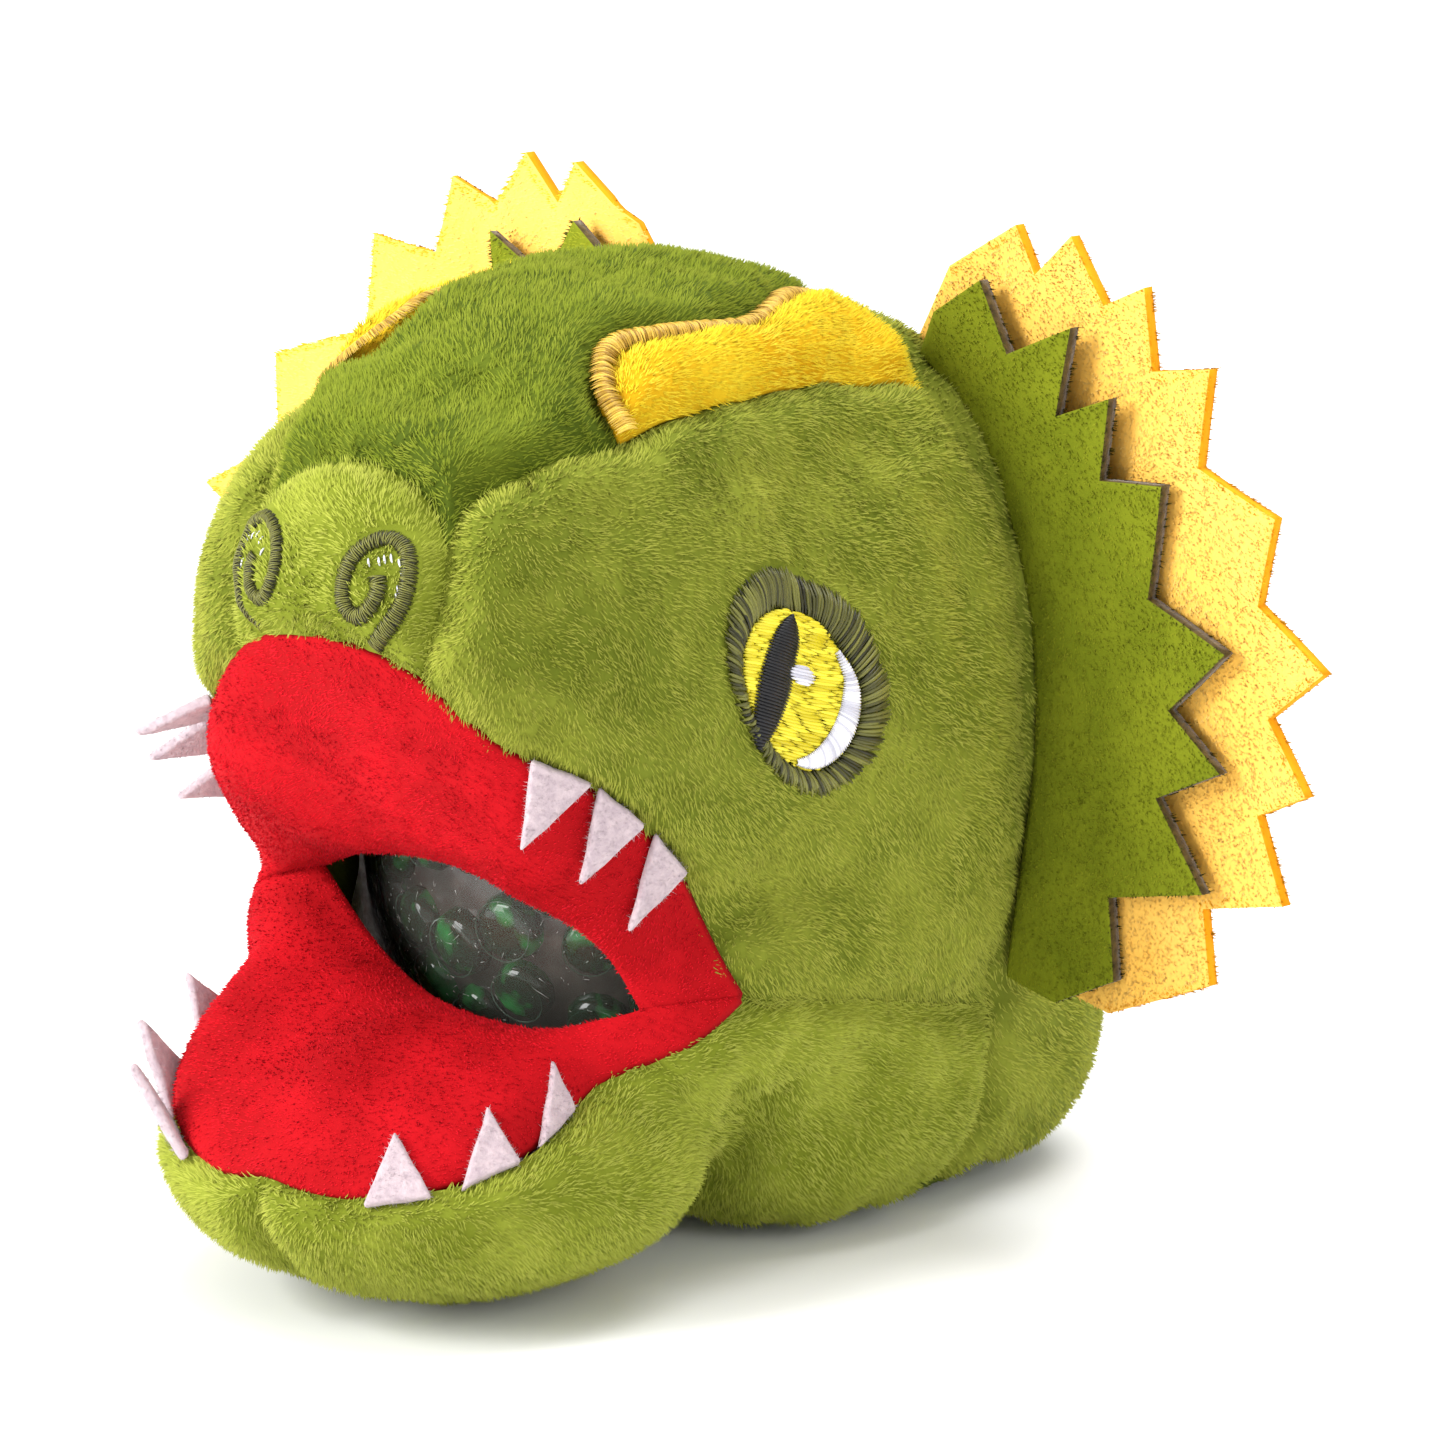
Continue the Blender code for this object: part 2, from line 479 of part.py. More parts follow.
def make_eyes():
    axes = local_axes(EYE_CENTRE)
    low = THREAD_GAP
    top = low + THREAD
    second = top + THREAD_GAP
    third = second + THREAD + THREAD_GAP

    def rim(height, back):
        def place(share, angle):
            inner = eye_oval(EYE_INNER, 1 + THREAD_GAP / EYE_INNER[1][0], angle)
            outer = eye_oval(EYE_OUTER, 1, angle)
            blend = (share - 0.5) / 0.5
            return on_skin(axes, *(i + (o - i) * blend for i, o in zip(inner, outer)), height)
        return polar_sheet(1, 28, place, back, hole=0.5)

    def iris(height, back):
        return polar_sheet(3, 28, lambda r, a: on_skin(axes, *eye_oval(EYE_INNER, r, a), height), back)

    def pupil(height, back):
        def place(share, angle):
            side = share * PUPIL_HALF[0] * math.cos(angle)
            up = share * PUPIL_HALF[1] * math.sin(angle)
            turn = Matrix.Rotation(PUPIL_LEAN, 2)
            spot = turn @ Vector((side, up))
            return on_skin(axes, PUPIL_MIDDLE[0] + spot.x, PUPIL_MIDDLE[1] + spot.y, height)
        return polar_sheet(2, 18, place, back)

    def glint(height, back):
        oval = (GLINT_MIDDLE, GLINT_HALF)
        return polar_sheet(2, 12, lambda r, a: on_skin(axes, *eye_oval(oval, r, a), height), back)

    def highlight(height, back):
        mesh_builder = bmesh.new()
        bmesh.ops.create_grid(mesh_builder, x_segments=10, y_segments=2, size=0.5)
        for vert in mesh_builder.verts:
            start, end = HIGHLIGHT_ANGLES
            along = vert.co.x + 0.5
            angle = start + (end - start) * along
            width = HIGHLIGHT_WIDTH * (HIGHLIGHT_ENDS + (1 - HIGHLIGHT_ENDS) * math.sin(math.pi * along))
            share = 1 - (HIGHLIGHT_INSET + (vert.co.y + 0.5) * width) / EYE_INNER[1][0]
            vert.co = on_skin(axes, *eye_oval(EYE_INNER, share, angle), height)
        close_sheet(mesh_builder, back)
        return mesh_builder

    stitched("eye_rim", rim, low, top + 0.2, THREAD_OLIVE)
    stitched("eye_iris", iris, low, top, THREAD_YELLOW)
    stitched("eye_pupil", pupil, second, second + THREAD, THREAD_BLACK)
    stitched("eye_highlight", highlight, second, second + THREAD, THREAD_GREY)
    stitched("eye_glint", glint, third, third + 0.5, THREAD_GREY)


def make_nostrils():
    axes = local_axes(NOSTRIL_CENTRE)

    def swirl(height, back):
        mesh_builder = bmesh.new()
        bmesh.ops.create_grid(mesh_builder, x_segments=30, y_segments=1, size=0.5)
        for vert in mesh_builder.verts:
            along = vert.co.x + 0.5
            angle = NOSTRIL_START + along * NOSTRIL_TURNS * math.tau
            radius = 1.0 - NOSTRIL_CLOSING * along
            width = vert.co.y * NOSTRIL_STROKE
            vert.co = on_skin(axes, (NOSTRIL_HALF[0] * radius + width) * math.cos(angle),
                              (NOSTRIL_HALF[1] * radius + width) * math.sin(angle), height)
        close_sheet(mesh_builder, back)
        return mesh_builder

    stitched("nostril_swirl", swirl, THREAD_GAP, THREAD_GAP + THREAD, THREAD_OLIVE)


# --- frill -----------------------------------------------------------------------------------------


def frill_y(x, layer_y):
    return layer_y + FRILL_SLOPE * (x - FRILL_TOP_X)


def frill_root_x(z, layer_y):
    """Where the flap's plane leaves the head at a height, with the gap that lets the flap turn."""
    x = 10.0
    while skin_value((x, frill_y(x, layer_y), z)) < 0:
        x += 0.1
    return x + FRILL_ROOT_GAP


def make_flap(name, edge, layer_y, finish):
    outline = [(x, z) for x, z in edge]
    outline += [(frill_root_x(z, layer_y), z) for z in ROOT_ZS]
    half = Vector((0, FRILL_CLOTH / 2, 0))
    mesh_builder = bmesh.new()
    places = [Vector((x, frill_y(x, layer_y), z)) - half for x, z in outline]
    mesh_builder.faces.new([mesh_builder.verts.new(place) for place in places])
    close_sheet(mesh_builder, lambda co: co + 2 * half)
    left = add_object(name + "_left", mesh_builder, finish)
    mirror_copy(name + "_right", left)


# --- inside ----------------------------------------------------------------------------------------


def revolved(profile, steps):
    """Turn a profile of (radius, height) about the Y axis through the middle of the ball."""
    mesh_builder = bmesh.new()
    verts = [mesh_builder.verts.new((radius, along, 0)) for radius, along in profile]
    edges = [mesh_builder.edges.new(pair) for pair in zip(verts, verts[1:])]
    bmesh.ops.spin(mesh_builder, geom=verts + edges, cent=(0, 0, 0), axis=(0, 1, 0), angle=math.tau,
                   steps=steps, use_merge=True)
    bmesh.ops.remove_doubles(mesh_builder, verts=mesh_builder.verts[:], dist=1e-4)
    bmesh.ops.translate(mesh_builder, vec=BALL_CENTRE, verts=mesh_builder.verts[:])
    return mesh_builder


def arc(radius, start, end, count):
    """Points (radius, height) on a circle, angles counted from the front pole (-Y), radians."""
    angles = [start + (end - start) * i / count for i in range(count + 1)]
    return [(radius * math.sin(a), -radius * math.cos(a)) for a in angles]


def make_ball():
    inner_radius = BALL_RADIUS - BALL_WALL
    hole_outer = math.pi - math.asin(BALL_HOLE_RADIUS / BALL_RADIUS)
    hole_inner = math.pi - math.asin(BALL_HOLE_RADIUS / inner_radius)
    profile = arc(BALL_RADIUS, 0, hole_outer, 14) + arc(inner_radius, hole_inner, 0, 12)
    add_object("ball_skin", revolved(profile, 26), CLEAR_SKIN)
    filling = arc(inner_radius - BALL_PLAY, 0, math.pi, 10)
    add_object("ball_filling", revolved(filling, 20), GEL)
    back = BALL_RADIUS * math.cos(math.pi - hole_outer)
    stem = BALL_HOLE_RADIUS - PLUG_PLAY
    plug = [(0, back - PLUG_DEPTH), (stem, back - PLUG_DEPTH), (stem, back + PLUG_SEAT),
            (stem + PLUG_RIM[0], back + PLUG_SEAT), (stem + PLUG_RIM[1], back + PLUG_HEAD), (0, back + PLUG_HEAD)]
    add_object("ball_plug", revolved(plug, 20), CLEAR_SKIN)


def filling_core():
    mesh_builder = bmesh.new()
    bmesh.ops.create_uvsphere(mesh_builder, u_segments=28, v_segments=18, radius=1.0)
    for vert in mesh_builder.verts:
        vert.co = inside(HEART + vert.co, FILLING_INSET)
    return mesh_builder


def side_prism(name, outline, half_width):
    """A cutter: a closed outline of (y, z) points, as wide as the head."""
    mesh_builder = bmesh.new()
    verts = [mesh_builder.verts.new((-half_width, y, z)) for y, z in outline]
    mesh_builder.faces.new(verts)
    close_sheet(mesh_builder, lambda co: co + Vector((2 * half_width, 0, 0)))
    return as_cutter(add_object(name, mesh_builder, FIBRE))


def as_cutter(thing):
    thing.hide_render = True
    thing.display_type = "WIRE"
    return thing


def cut(thing, cutter, operation):
    modifier = thing.modifiers.new(cutter.name, "BOOLEAN")
    modifier.operation = operation
    modifier.solver = "EXACT"
    modifier.object = cutter


def make_fillings():
    half_width = 50
    head_region = ((-22, -5), (-22, 14), (-34, 22), (-34, 44), (-85, 104), (-85, 112), (60, 112), (60, -5))
    jaw_region = ((-45, -5), (-45, 14), (-62, 12), (-90, 12), (-90, -5))
    head = add_object("head_filling", filling_core(), FIBRE)
    cut(head, side_prism("head_region", head_region, half_width), "INTERSECT")
    cavity = bmesh.new()
    bmesh.ops.create_uvsphere(cavity, u_segments=24, v_segments=14, radius=BALL_RADIUS + CAVITY_PLAY)
    bmesh.ops.scale(cavity, vec=(1, CAVITY_STRETCH, 1), verts=cavity.verts[:])
    bmesh.ops.translate(cavity, vec=BALL_CENTRE + CAVITY_SHIFT, verts=cavity.verts[:])
    cut(head, as_cutter(add_object("ball_cavity", cavity, FIBRE)), "DIFFERENCE")
    jaw = add_object("jaw_filling", filling_core(), FIBRE)
    cut(jaw, side_prism("jaw_region", jaw_region, half_width), "INTERSECT")


def main():
    clear_scene()
    make_outer_cloth()
    make_base_panel()
    make_mouth()
    make_eyes()
    make_nostrils()
    make_flap("green_frill", GREEN_EDGE, GREEN_Y, PLUSH_GREEN)
    make_flap("yellow_frill", YELLOW_EDGE, YELLOW_Y, PLUSH_YELLOW)
    make_ball()
    make_fillings()


main()
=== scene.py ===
import json
import math

import bmesh
import bpy
import numpy as np
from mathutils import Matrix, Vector
from mathutils.kdtree import KDTree


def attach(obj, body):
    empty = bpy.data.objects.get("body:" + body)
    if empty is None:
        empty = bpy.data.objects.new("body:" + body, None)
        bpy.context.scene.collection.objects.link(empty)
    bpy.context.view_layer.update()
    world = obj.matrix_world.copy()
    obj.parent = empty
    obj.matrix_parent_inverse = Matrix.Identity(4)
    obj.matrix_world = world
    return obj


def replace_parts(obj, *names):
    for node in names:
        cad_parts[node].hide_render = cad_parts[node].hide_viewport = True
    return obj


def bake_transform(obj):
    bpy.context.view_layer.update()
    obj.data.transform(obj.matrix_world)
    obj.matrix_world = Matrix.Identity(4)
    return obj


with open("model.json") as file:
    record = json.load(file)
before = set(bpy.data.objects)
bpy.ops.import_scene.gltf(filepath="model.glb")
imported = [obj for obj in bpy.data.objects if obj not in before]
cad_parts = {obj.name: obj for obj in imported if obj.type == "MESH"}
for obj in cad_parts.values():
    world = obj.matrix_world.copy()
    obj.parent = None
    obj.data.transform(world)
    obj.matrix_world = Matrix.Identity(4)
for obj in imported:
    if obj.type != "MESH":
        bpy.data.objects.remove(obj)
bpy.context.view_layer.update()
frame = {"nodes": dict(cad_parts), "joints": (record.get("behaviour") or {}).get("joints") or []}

MM = 0.001
CHANCE = np.random.default_rng(7)
SIDES = (("left", 1), ("right", -1))    # the shapes are made on the left and mirrored

# --- driving dimensions, mm ------------------------------------------------------------------------
CLOTH_BACK = 1.1             # thickness of the knitted backing under the pile
CLOTH_SINK = 0.75            # the backing lies this far under the CAD surface, and the pile fills it
SEAM_PINCH = 1.5             # how deep a seam pulls the cloth in
SEAM_REACH = 1.9             # how far from the seam that is felt
PUFF = 0.9                   # how far a stuffed panel swells between its seams, without simulation
PUFF_REACH = 9.0
FAR_ROLL = 5.5               # the linings roll out this far on the dinosaur's right
LINING_INSET = 1.75          # depth of the linings' edge under the outer surface
LINING_BACK = 0.8            # thickness of the mouth linings under their pile
LIP_CLEAR = 1.6              # no pile this close to the middle of the upper lip's seam
SWELL_CAP = 1.2              # a stuffed panel may swell this far under its filling
PILE = 1.0                   # pile length on the head
PILE_WIDTH = 0.125
PILE_DENSITY = 9.0           # tufts for each square millimetre
PILE_DENSITY_BEHIND = 5.0    # coarser and thicker where the head is seldom looked at
PILE_WIDTH_BEHIND = 0.17
THREAD = 0.36                # width of an embroidery thread
LINT_WIDTH = 0.028           # half the width of a hair lying on the ball
BALL_RADIUS = 28.3           # a little slack between the ball and the cloth around it
BALL_CENTRE = np.array((0.0, -15.5, 36.0))
WATER_INSET = 2.6
BEAD_COUNT = 150
BEAD_SIZES = (2.9, 3.5)      # smallest and largest radius of a bead
LINT_COUNT = 420
SEAM_HOLD = 1.5              # the stuffing moves nothing this close to a seam
FOLD_DEPTH = 1.1             # how deep the crease between cheek and jaw is
FOLD_REACH = 2.4
FELT_THICKNESS = 1.1
FELT_ROUNDING = 0.42
IRIS_STITCH = 3.2            # longest stitch in the iris
FRILL_SLOPE = -0.2
FRILL_TOP_X = 18.7
FRILL_CLOTH = 1.1            # thickness of a flap without its pile
FRILL_PILE = 0.65
FRILL_DENSITY = 8.5
EDGE_DENSITY = 14.0
FRILL_SWING = 9.0            # how far the top of the right flaps is bent back

# The head is a soft union of rounded bulges: centre, radii, roundness power and blend width.
HEART = np.array((0.0, -20.0, 35.0))
BODY = ((0, -7, 51), (35.5, 32, 39.4), 2.2)
BULGES = (
    ((0, -1, 22), (31, 31, 25), 3.2, 5.0),          # broad foot of the head
    ((0, -30, 57), (31, 33, 32), 2.2, 6.0),         # cheeks
    ((0, -24, 66), (25, 28.5, 28.2), 2.75, 4.0),    # brow
    ((0, -41, 63), (24.5, 27, 25), 2.2, 5.0),       # snout
    ((0, -30, 28), (30, 26, 18), 2.2, 4.0),         # jowls
    ((0, -49.5, 14), (26.5, 27, 13.6), 1.9, 3.0),   # lower jaw
)

# Seam lines on the left half, as points close to the outer surface.
MOUTH_CORNER = (29.0, -37.8, 30.0)
UPPER_LIP_FRONT = ((0, -68, 66.3), (6, -67.4, 65.4), (11.6, -65, 62.5))
UPPER_LIP_SIDE = ((11.6, -65, 62.5), (17.8, -60, 55.8), (22.6, -52.5, 51), (25.7, -44.2, 42.6), MOUTH_CORNER)
LOWER_LIP = ((0, -74.8, 17.6), (6, -74.6, 16.4), (12, -71.5, 16.8), (18.3, -64.8, 18.6),
             (22.3, -54.2, 22), (26.2, -44.8, 25.2), MOUTH_CORNER)
NOSE_SIDE = ((11.6, -65, 62.5), (12.8, -63.4, 70), (12.4, -62.2, 76))
NOSE_ARCH = ((12.4, -62.2, 76), (9.9, -61.6, 80.2), (6, -60.6, 82.2), (0, -59.6, 83))
CROWN_FRONT_SIDE = ((12.4, -62.2, 76), (12.2, -58.5, 80.2), (16.4, -49, 82.8), (18.8, -43.6, 83.6))
CREST_OUTER = ((18.8, -43.6, 83.6), (21, -30.9, 85.3), (21.6, -16.3, 85.2), (22, -4.7, 84),
               (22.4, -0.4, 83.4))
CREST_FRONT = ((18.8, -43.6, 83.6), (15, -42.6, 87.2), (12.3, -38.4, 90.8))
CREST_INNER = ((12.3, -38.4, 90.8), (14, -32.5, 91.2), (15.9, -22.6, 90.7), (14.9, -17.5, 91.3),
               (12, -10.6, 91.6), (11, -5, 90.6), (11.5, 1, 90))
CREST_REAR = ((22.4, -0.4, 83.4), (18, 1.2, 87.5), (11.5, 1, 90))
CROWN_REAR = ((11.5, 1, 90), (6, 2, 91), (0, 2.4, 91))
CHEEK_REAR = ((22.4, -0.4, 83.4), (28.6, -1, 77.6), (34.6, -1, 61), (35.5, -1, 50), (33.4, 0, 37),
              (30.6, 0, 21))
CHEEK_BOTTOM = (MOUTH_CORNER, (31, -24, 26.3), (30.6, 0, 21))
SIDE_REAR = ((30.6, 0, 21), (30, -1.5, 14), (27.4, -4, 7), (23, -7, 2.2))
JAW_FOLD = ((0, -33, 1.8), (12, -34.5, 3.4), (21.5, -36.5, 8.5), (27, -37, 17), (28.6, -37.6, 24.5))
CHIN = ((0, -74.8, 17.6), (0, -75.8, 11), (0, -70, 4), (0, -58, 0.8), (0, -45, 0.6), (0, -33, 1.8))
BASE_FRONT = ((0, -25, 2.2), (12, -22, 2.2), (20, -15, 2.2), (23, -7, 2.2))
BASE_REAR = ((23, -7, 2.2), (23.6, 4, 2.2), (17, 17, 2.2), (0, 22.5, 2.2))
THROAT = ((0, -33, 1.8), (0, -25, 2.2))
SPINE = ((0, 2.4, 91), (0, 14, 84), (0, 24, 65), (0, 28, 45), (0, 30, 22), (0, 22.5, 2.2))
SEAMS = (UPPER_LIP_FRONT, UPPER_LIP_SIDE, LOWER_LIP, NOSE_SIDE, NOSE_ARCH, CROWN_FRONT_SIDE, CREST_OUTER,
         CREST_FRONT, CREST_INNER, CREST_REAR, CROWN_REAR, CHEEK_REAR, CHEEK_BOTTOM, SIDE_REAR, CHIN,
         BASE_FRONT, BASE_REAR, SPINE)

# The hand-cut slit between the linings, from the dinosaur's right end to its left end.
SLIT_RIGHT = (-18.0, -44.5, 36.8)
SLIT_LEFT = (21.0, -44.5, 29.2)
SLIT_TOP = (SLIT_RIGHT, (-8, -47.4, 40), (3, -48.3, 40.4), (11.6, -47.7, 38), (17.5, -46, 34.2), SLIT_LEFT)
SLIT_BOTTOM = (SLIT_RIGHT, (-9, -47.2, 31.4), (-1, -48.3, 28), (8, -48.4, 27), (14.5, -47.6, 27.2), SLIT_LEFT)
PALATE_BOW = np.array((0, -1.4, -1.6))
TONGUE_BOW = np.array((0, -0.6, 1.8))

TOOTH_PLACES = {
    "upper": {"front": 0.485, "middle": 0.605, "rear": 0.73},
    "lower": {"front": 0.275, "middle": 0.445, "rear": 0.575},
}
TOOTH_HALF_BASE = 3.2
# The left teeth lean in over the mouth, the right ones stand out from the lip.
TOOTH_LEAN = {
    ("upper", "left"): np.array((-3.0, -2.0, -6.8)), ("upper", "right"): np.array((5.0, -4.8, -2.2)),
    ("lower", "left"): np.array((-2.6, 2.8, 4.8)), ("lower", "right"): np.array((3.2, -2.0, 7.0)),
}
TOOTH_SHIFT = {"upper": np.array((2.0, -1.5, 0.4)), "lower": np.array((1.5, -1.0, 0.8))}    # right side only
TOOTH_HALF_BASE_RIGHT = 4.0
TOOTH_TUCK = 1.0             # how far the base of a tooth is sewn into the seam

# Zigzag edges of the left frill flaps in the XZ plane, tip, valley, tip, from the top round to the bottom.
YELLOW_EDGE = ((19.3, 92.5), (28.3, 97.7), (31, 93.2), (36.1, 97.7), (40.8, 91.7), (46.2, 94.2), (47.3, 86.3),
               (54.7, 87.6), (53.7, 78.1), (63.6, 74.8), (61.5, 66.1), (69.8, 61), (62.6, 55.3), (67.8, 48.8),
               (61.4, 45.7), (65.1, 37.7), (54.8, 35.3), (56.2, 28.1), (42.6, 22.3))
GREEN_EDGE = ((19.5, 88.4), (25.9, 92.4), (29.9, 85.8), (38.8, 89.7), (36.7, 80.8), (43.9, 83.6),
              (42.4, 75.4), (50.7, 76.2), (48.5, 64.8), (59, 61.4), (51.4, 54.5), (58.4, 49.7),
              (50.1, 45.7), (56.6, 37.6), (43.9, 34.6), (44.6, 26.3), (37, 22.6))
YELLOW_Y = 6.6
GREEN_Y = 3.8
FRILL_FOOT, FRILL_HEAD = 24.0, 84.0     # heights between which a flap is sewn in

# Embroidery on the left side: centre and half sizes.
EYE_CENTRE = (30.8, -32.3, 60.5)
EYE_SLANT = -0.36
EYE_OUTER = ((0.0, 0.4), (10.0, 11.2))
EYE_INNER = ((-0.9, -0.7), (7.4, 7.6))
PUPIL_MIDDLE = (-4.4, 0.6)
PUPIL_HALF = (2.3, 6.3)
PUPIL_LEAN = math.radians(-25)
NOSTRIL_CENTRE = (8.4, -65.5, 71.2)
# The stitched swirl of the nostril on the left: sideways and up from its centre.
NOSTRIL_LINE = ((-2.9, -6.2, 0), (-0.9, -4.4, 0), (0.8, -2.4, 0), (1.8, 0, 0), (1.9, 2.6, 0), (1.3, 4.4, 0),
                (-0.1, 5.3, 0), (-1.9, 4.9, 0), (-3.5, 3.6, 0), (-4.3, 1.8, 0), (-4.4, 0, 0), (-3.8, -1.8, 0),
                (-2.9, -2.3, 0), (-1.9, -1.9, 0), (-1.0, -0.7, 0), (-0.7, 0.6, 0), (-1.0, 1.5, 0))
NOSTRIL_STROKE = 1.7

# --- the shape of the head -------------------------------------------------------------------------


def unit(vectors):
    return vectors / np.maximum(np.linalg.norm(vectors, axis=-1, keepdims=True), 1e-12)


def bulge_value(points, centre, radii, power):
    total = sum((np.abs(points[..., i] - centre[i]) / radii[i]) ** power for i in range(3))
    return (total ** (1.0 / power) - 1.0) * min(radii)


def skin_value(points):
    """Below zero inside the head. The bulges melt into each other, and the floor cuts them flat."""
    value = bulge_value(points, *BODY)
    for centre, radii, power, blend in BULGES:
        other = bulge_value(points, centre, radii, power)
        share = np.clip(0.5 + 0.5 * (other - value) / blend, 0, 1)
        value = other * (1 - share) + value * share - blend * share * (1 - share)
    return np.maximum(value, -points[..., 2])


def on_skin(points):
    """The outer surface in the direction of each point, seen from the heart of the head."""
    direction = unit(np.asarray(points, float) - HEART)
    near = np.zeros(direction.shape[:-1])
    far = np.full(direction.shape[:-1], 110.0)
    for _ in range(22):
        middle = 0.5 * (near + far)
        within = skin_value(HEART + direction * middle[..., None]) < 0
        near = np.where(within, middle, near)
        far = np.where(within, far, middle)
    return HEART + direction * near[..., None]


def skin_normals(points):
    steps = np.eye(3) * 0.4
    return unit(np.stack([skin_value(points + s) - skin_value(points - s) for s in steps], -1))


def smooth_curve(points):
    """A function of 0..1 along a smooth curve through the points."""
    knots = np.array(points, float)
    places = np.concatenate([[0.0], np.cumsum(np.linalg.norm(np.diff(knots, axis=0), axis=1))])
    last = len(knots) - 1

    def at(shares):
        place = np.clip(shares, 0, 1) * places[-1]
        i = np.clip(np.searchsorted(places, place, side="right") - 1, 0, last - 1)
        before, after = np.maximum(i - 1, 0), np.minimum(i + 2, last)
        span = places[i + 1] - places[i]
        t = ((place - places[i]) / span)[..., None]
        left = (knots[i + 1] - knots[before]) * (span / (places[i + 1] - places[before]))[..., None]
        right = (knots[after] - knots[i]) * (span / (places[after] - places[i]))[..., None]
        return (knots[i] * (2 * t ** 3 - 3 * t ** 2 + 1) + left * (t ** 3 - 2 * t ** 2 + t)
                + knots[i + 1] * (3 * t ** 2 - 2 * t ** 3) + right * (t ** 3 - t ** 2))

    return at


def mirrored(points):
    return tuple((-x, y, z) for x, y, z in points)


def there_and_back(points):
    """A line from its mirror image's outer end, through X = 0, to its own outer end."""
    inner_first = points if abs(points[0][0]) < abs(points[-1][0]) else points[::-1]
    return mirrored(inner_first[1:])[::-1] + tuple(inner_first)


def four_sided(bottom, top, start, end):
    """A surface of (s, t) between four curves: bottom and top run along s, start and end along t."""
    low, high, first, last = (smooth_curve(c) for c in (bottom, top, start, end))
    a, b, c, d = low(np.zeros(1)), low(np.ones(1)), high(np.zeros(1)), high(np.ones(1))

    def at(s, t):
        across, up = s[:, None], t[:, None]
        corners = (a * (1 - across) + b * across) * (1 - up) + (c * (1 - across) + d * across) * up
        return low(s) * (1 - up) + high(s) * up + first(t) * (1 - across) + last(t) * across - corners

    return at


def tree_of(spots):
    tree = KDTree(len(spots))
    for i, spot in enumerate(spots):
        tree.insert(spot, i)
    tree.balance()
    return tree


SEAM_TREE = tree_of(np.concatenate([on_skin(smooth_curve(line)(np.linspace(0, 1, 120)))
                                    for seam in SEAMS for line in (seam, mirrored(seam))]))


def seam_distance(points):
    return np.array([SEAM_TREE.find(p)[2] for p in points])


def ripple(points, size, seed):
    """A smooth value of about -1..1 that changes over the given size, mm. Each seed gives another one."""
    waves = np.random.default_rng(seed).normal(size=(9, 3)) * (1.6 / size)
    shift = np.random.default_rng(seed + 100).uniform(0, math.tau, 9)
    return np.sin(points @ waves.T + shift).sum(-1) / 4.2


def ripples(points, size, first_seed):
    """Three different ripples, one for each axis."""
    return np.stack([ripple(points, size, first_seed + i) for i in range(3)], -1)


# --- materials -------------------------------------------------------------------------------------


LOW, HIGH, BLENDED = 6, 7, 2     # a colour Mix node's two inputs and its output
PATCH = 9.0                     # size of a brushed patch, mm


def linear(hex_colour):
    """An sRGB hex colour as linear RGBA."""
    parts = [int(hex_colour[i:i + 2], 16) / 255 for i in (1, 3, 5)]
    return (*[c / 12.92 if c <= 0.04045 else ((c + 0.055) / 1.055) ** 2.4 for c in parts], 1.0)


def add(tree, kind, feeds=(), sockets=(), **settings):
    """One node with its settings, the values on its sockets and the links into it."""
    node = tree.nodes.new("ShaderNode" + kind)
    for name, value in settings.items():
        setattr(node, name, value)
    for name, value in dict(sockets).items():
        node.inputs[name].default_value = value
    for name, source in dict(feeds).items():
        tree.links.new(source, node.inputs[name])
    return node


def new_finish(name, **sockets):
    """A material with its Principled shader's constant sockets set."""
    material = bpy.data.materials.new(name)
    material.use_nodes = True
    shader = material.node_tree.nodes["Principled BSDF"]
    for socket, value in sockets.items():
        shader.inputs[socket.replace("_", " ")].default_value = value
    return material, material.node_tree, shader


def plush(name, root, middle, tip, patch):
    """Velboa plush: polyester fibres knitted into a backing, brushed up and sheared.

    The root colour is painted shade deep in the pile: each tuft is darkest at its root and turns to the
    middle and tip colours towards its sheared tip, and the backing under the tufts shows the root colour
    all over. Brushed patches lie differently. A soft sheen gives the pale edge that pile has against the
    light.
    """
    material, tree, shader = new_finish(name, Roughness=0.85, Sheen_Weight=0.2, Sheen_Roughness=0.45,
                                        Sheen_Tint=linear(tip), Specular_IOR_Level=0.12)
    place = add(tree, "TexCoord").outputs["Object"]
    along = add(tree, "Attribute", attribute_name="along").outputs["Fac"]
    shade = add(tree, "Attribute", attribute_name="shade").outputs["Fac"]
    brushed = add(tree, "TexNoise", {"Vector": place}, {"Scale": 1 / (PATCH * MM), "Detail": 3.0})
    fine = add(tree, "TexNoise", {"Vector": place}, {"Scale": 1 / (0.8 * MM), "Detail": 2.0})
    upper = add(tree, "Mix", {"Factor": shade}, {LOW: linear(middle), HIGH: linear(tip)}, data_type="RGBA")
    # painted shade: the root colour darkens each tuft towards its root, and the backing, which has no along
    # attribute, takes the root colour all over
    depth = add(tree, "MapRange", {"Value": along}, {"From Min": 0.0, "From Max": 0.75})
    pile = add(tree, "Mix", {"Factor": depth.outputs["Result"], HIGH: upper.outputs[BLENDED]},
               {LOW: linear(root)}, data_type="RGBA")
    spread = add(tree, "MapRange", {"Value": brushed.outputs["Fac"]},
                 {"From Min": 0.42, "From Max": 0.68, "To Max": 0.45})
    colour = add(tree, "Mix", {"Factor": spread.outputs["Result"], LOW: pile.outputs[BLENDED]},
                 {HIGH: linear(patch)}, data_type="RGBA")
    tree.links.new(colour.outputs[BLENDED], shader.inputs["Base Color"])
    bump = add(tree, "Bump", {"Height": fine.outputs["Fac"]}, {"Strength": 0.25, "Distance": 0.3 * MM})
    tree.links.new(bump.outputs["Normal"], shader.inputs["Normal"])
    return material


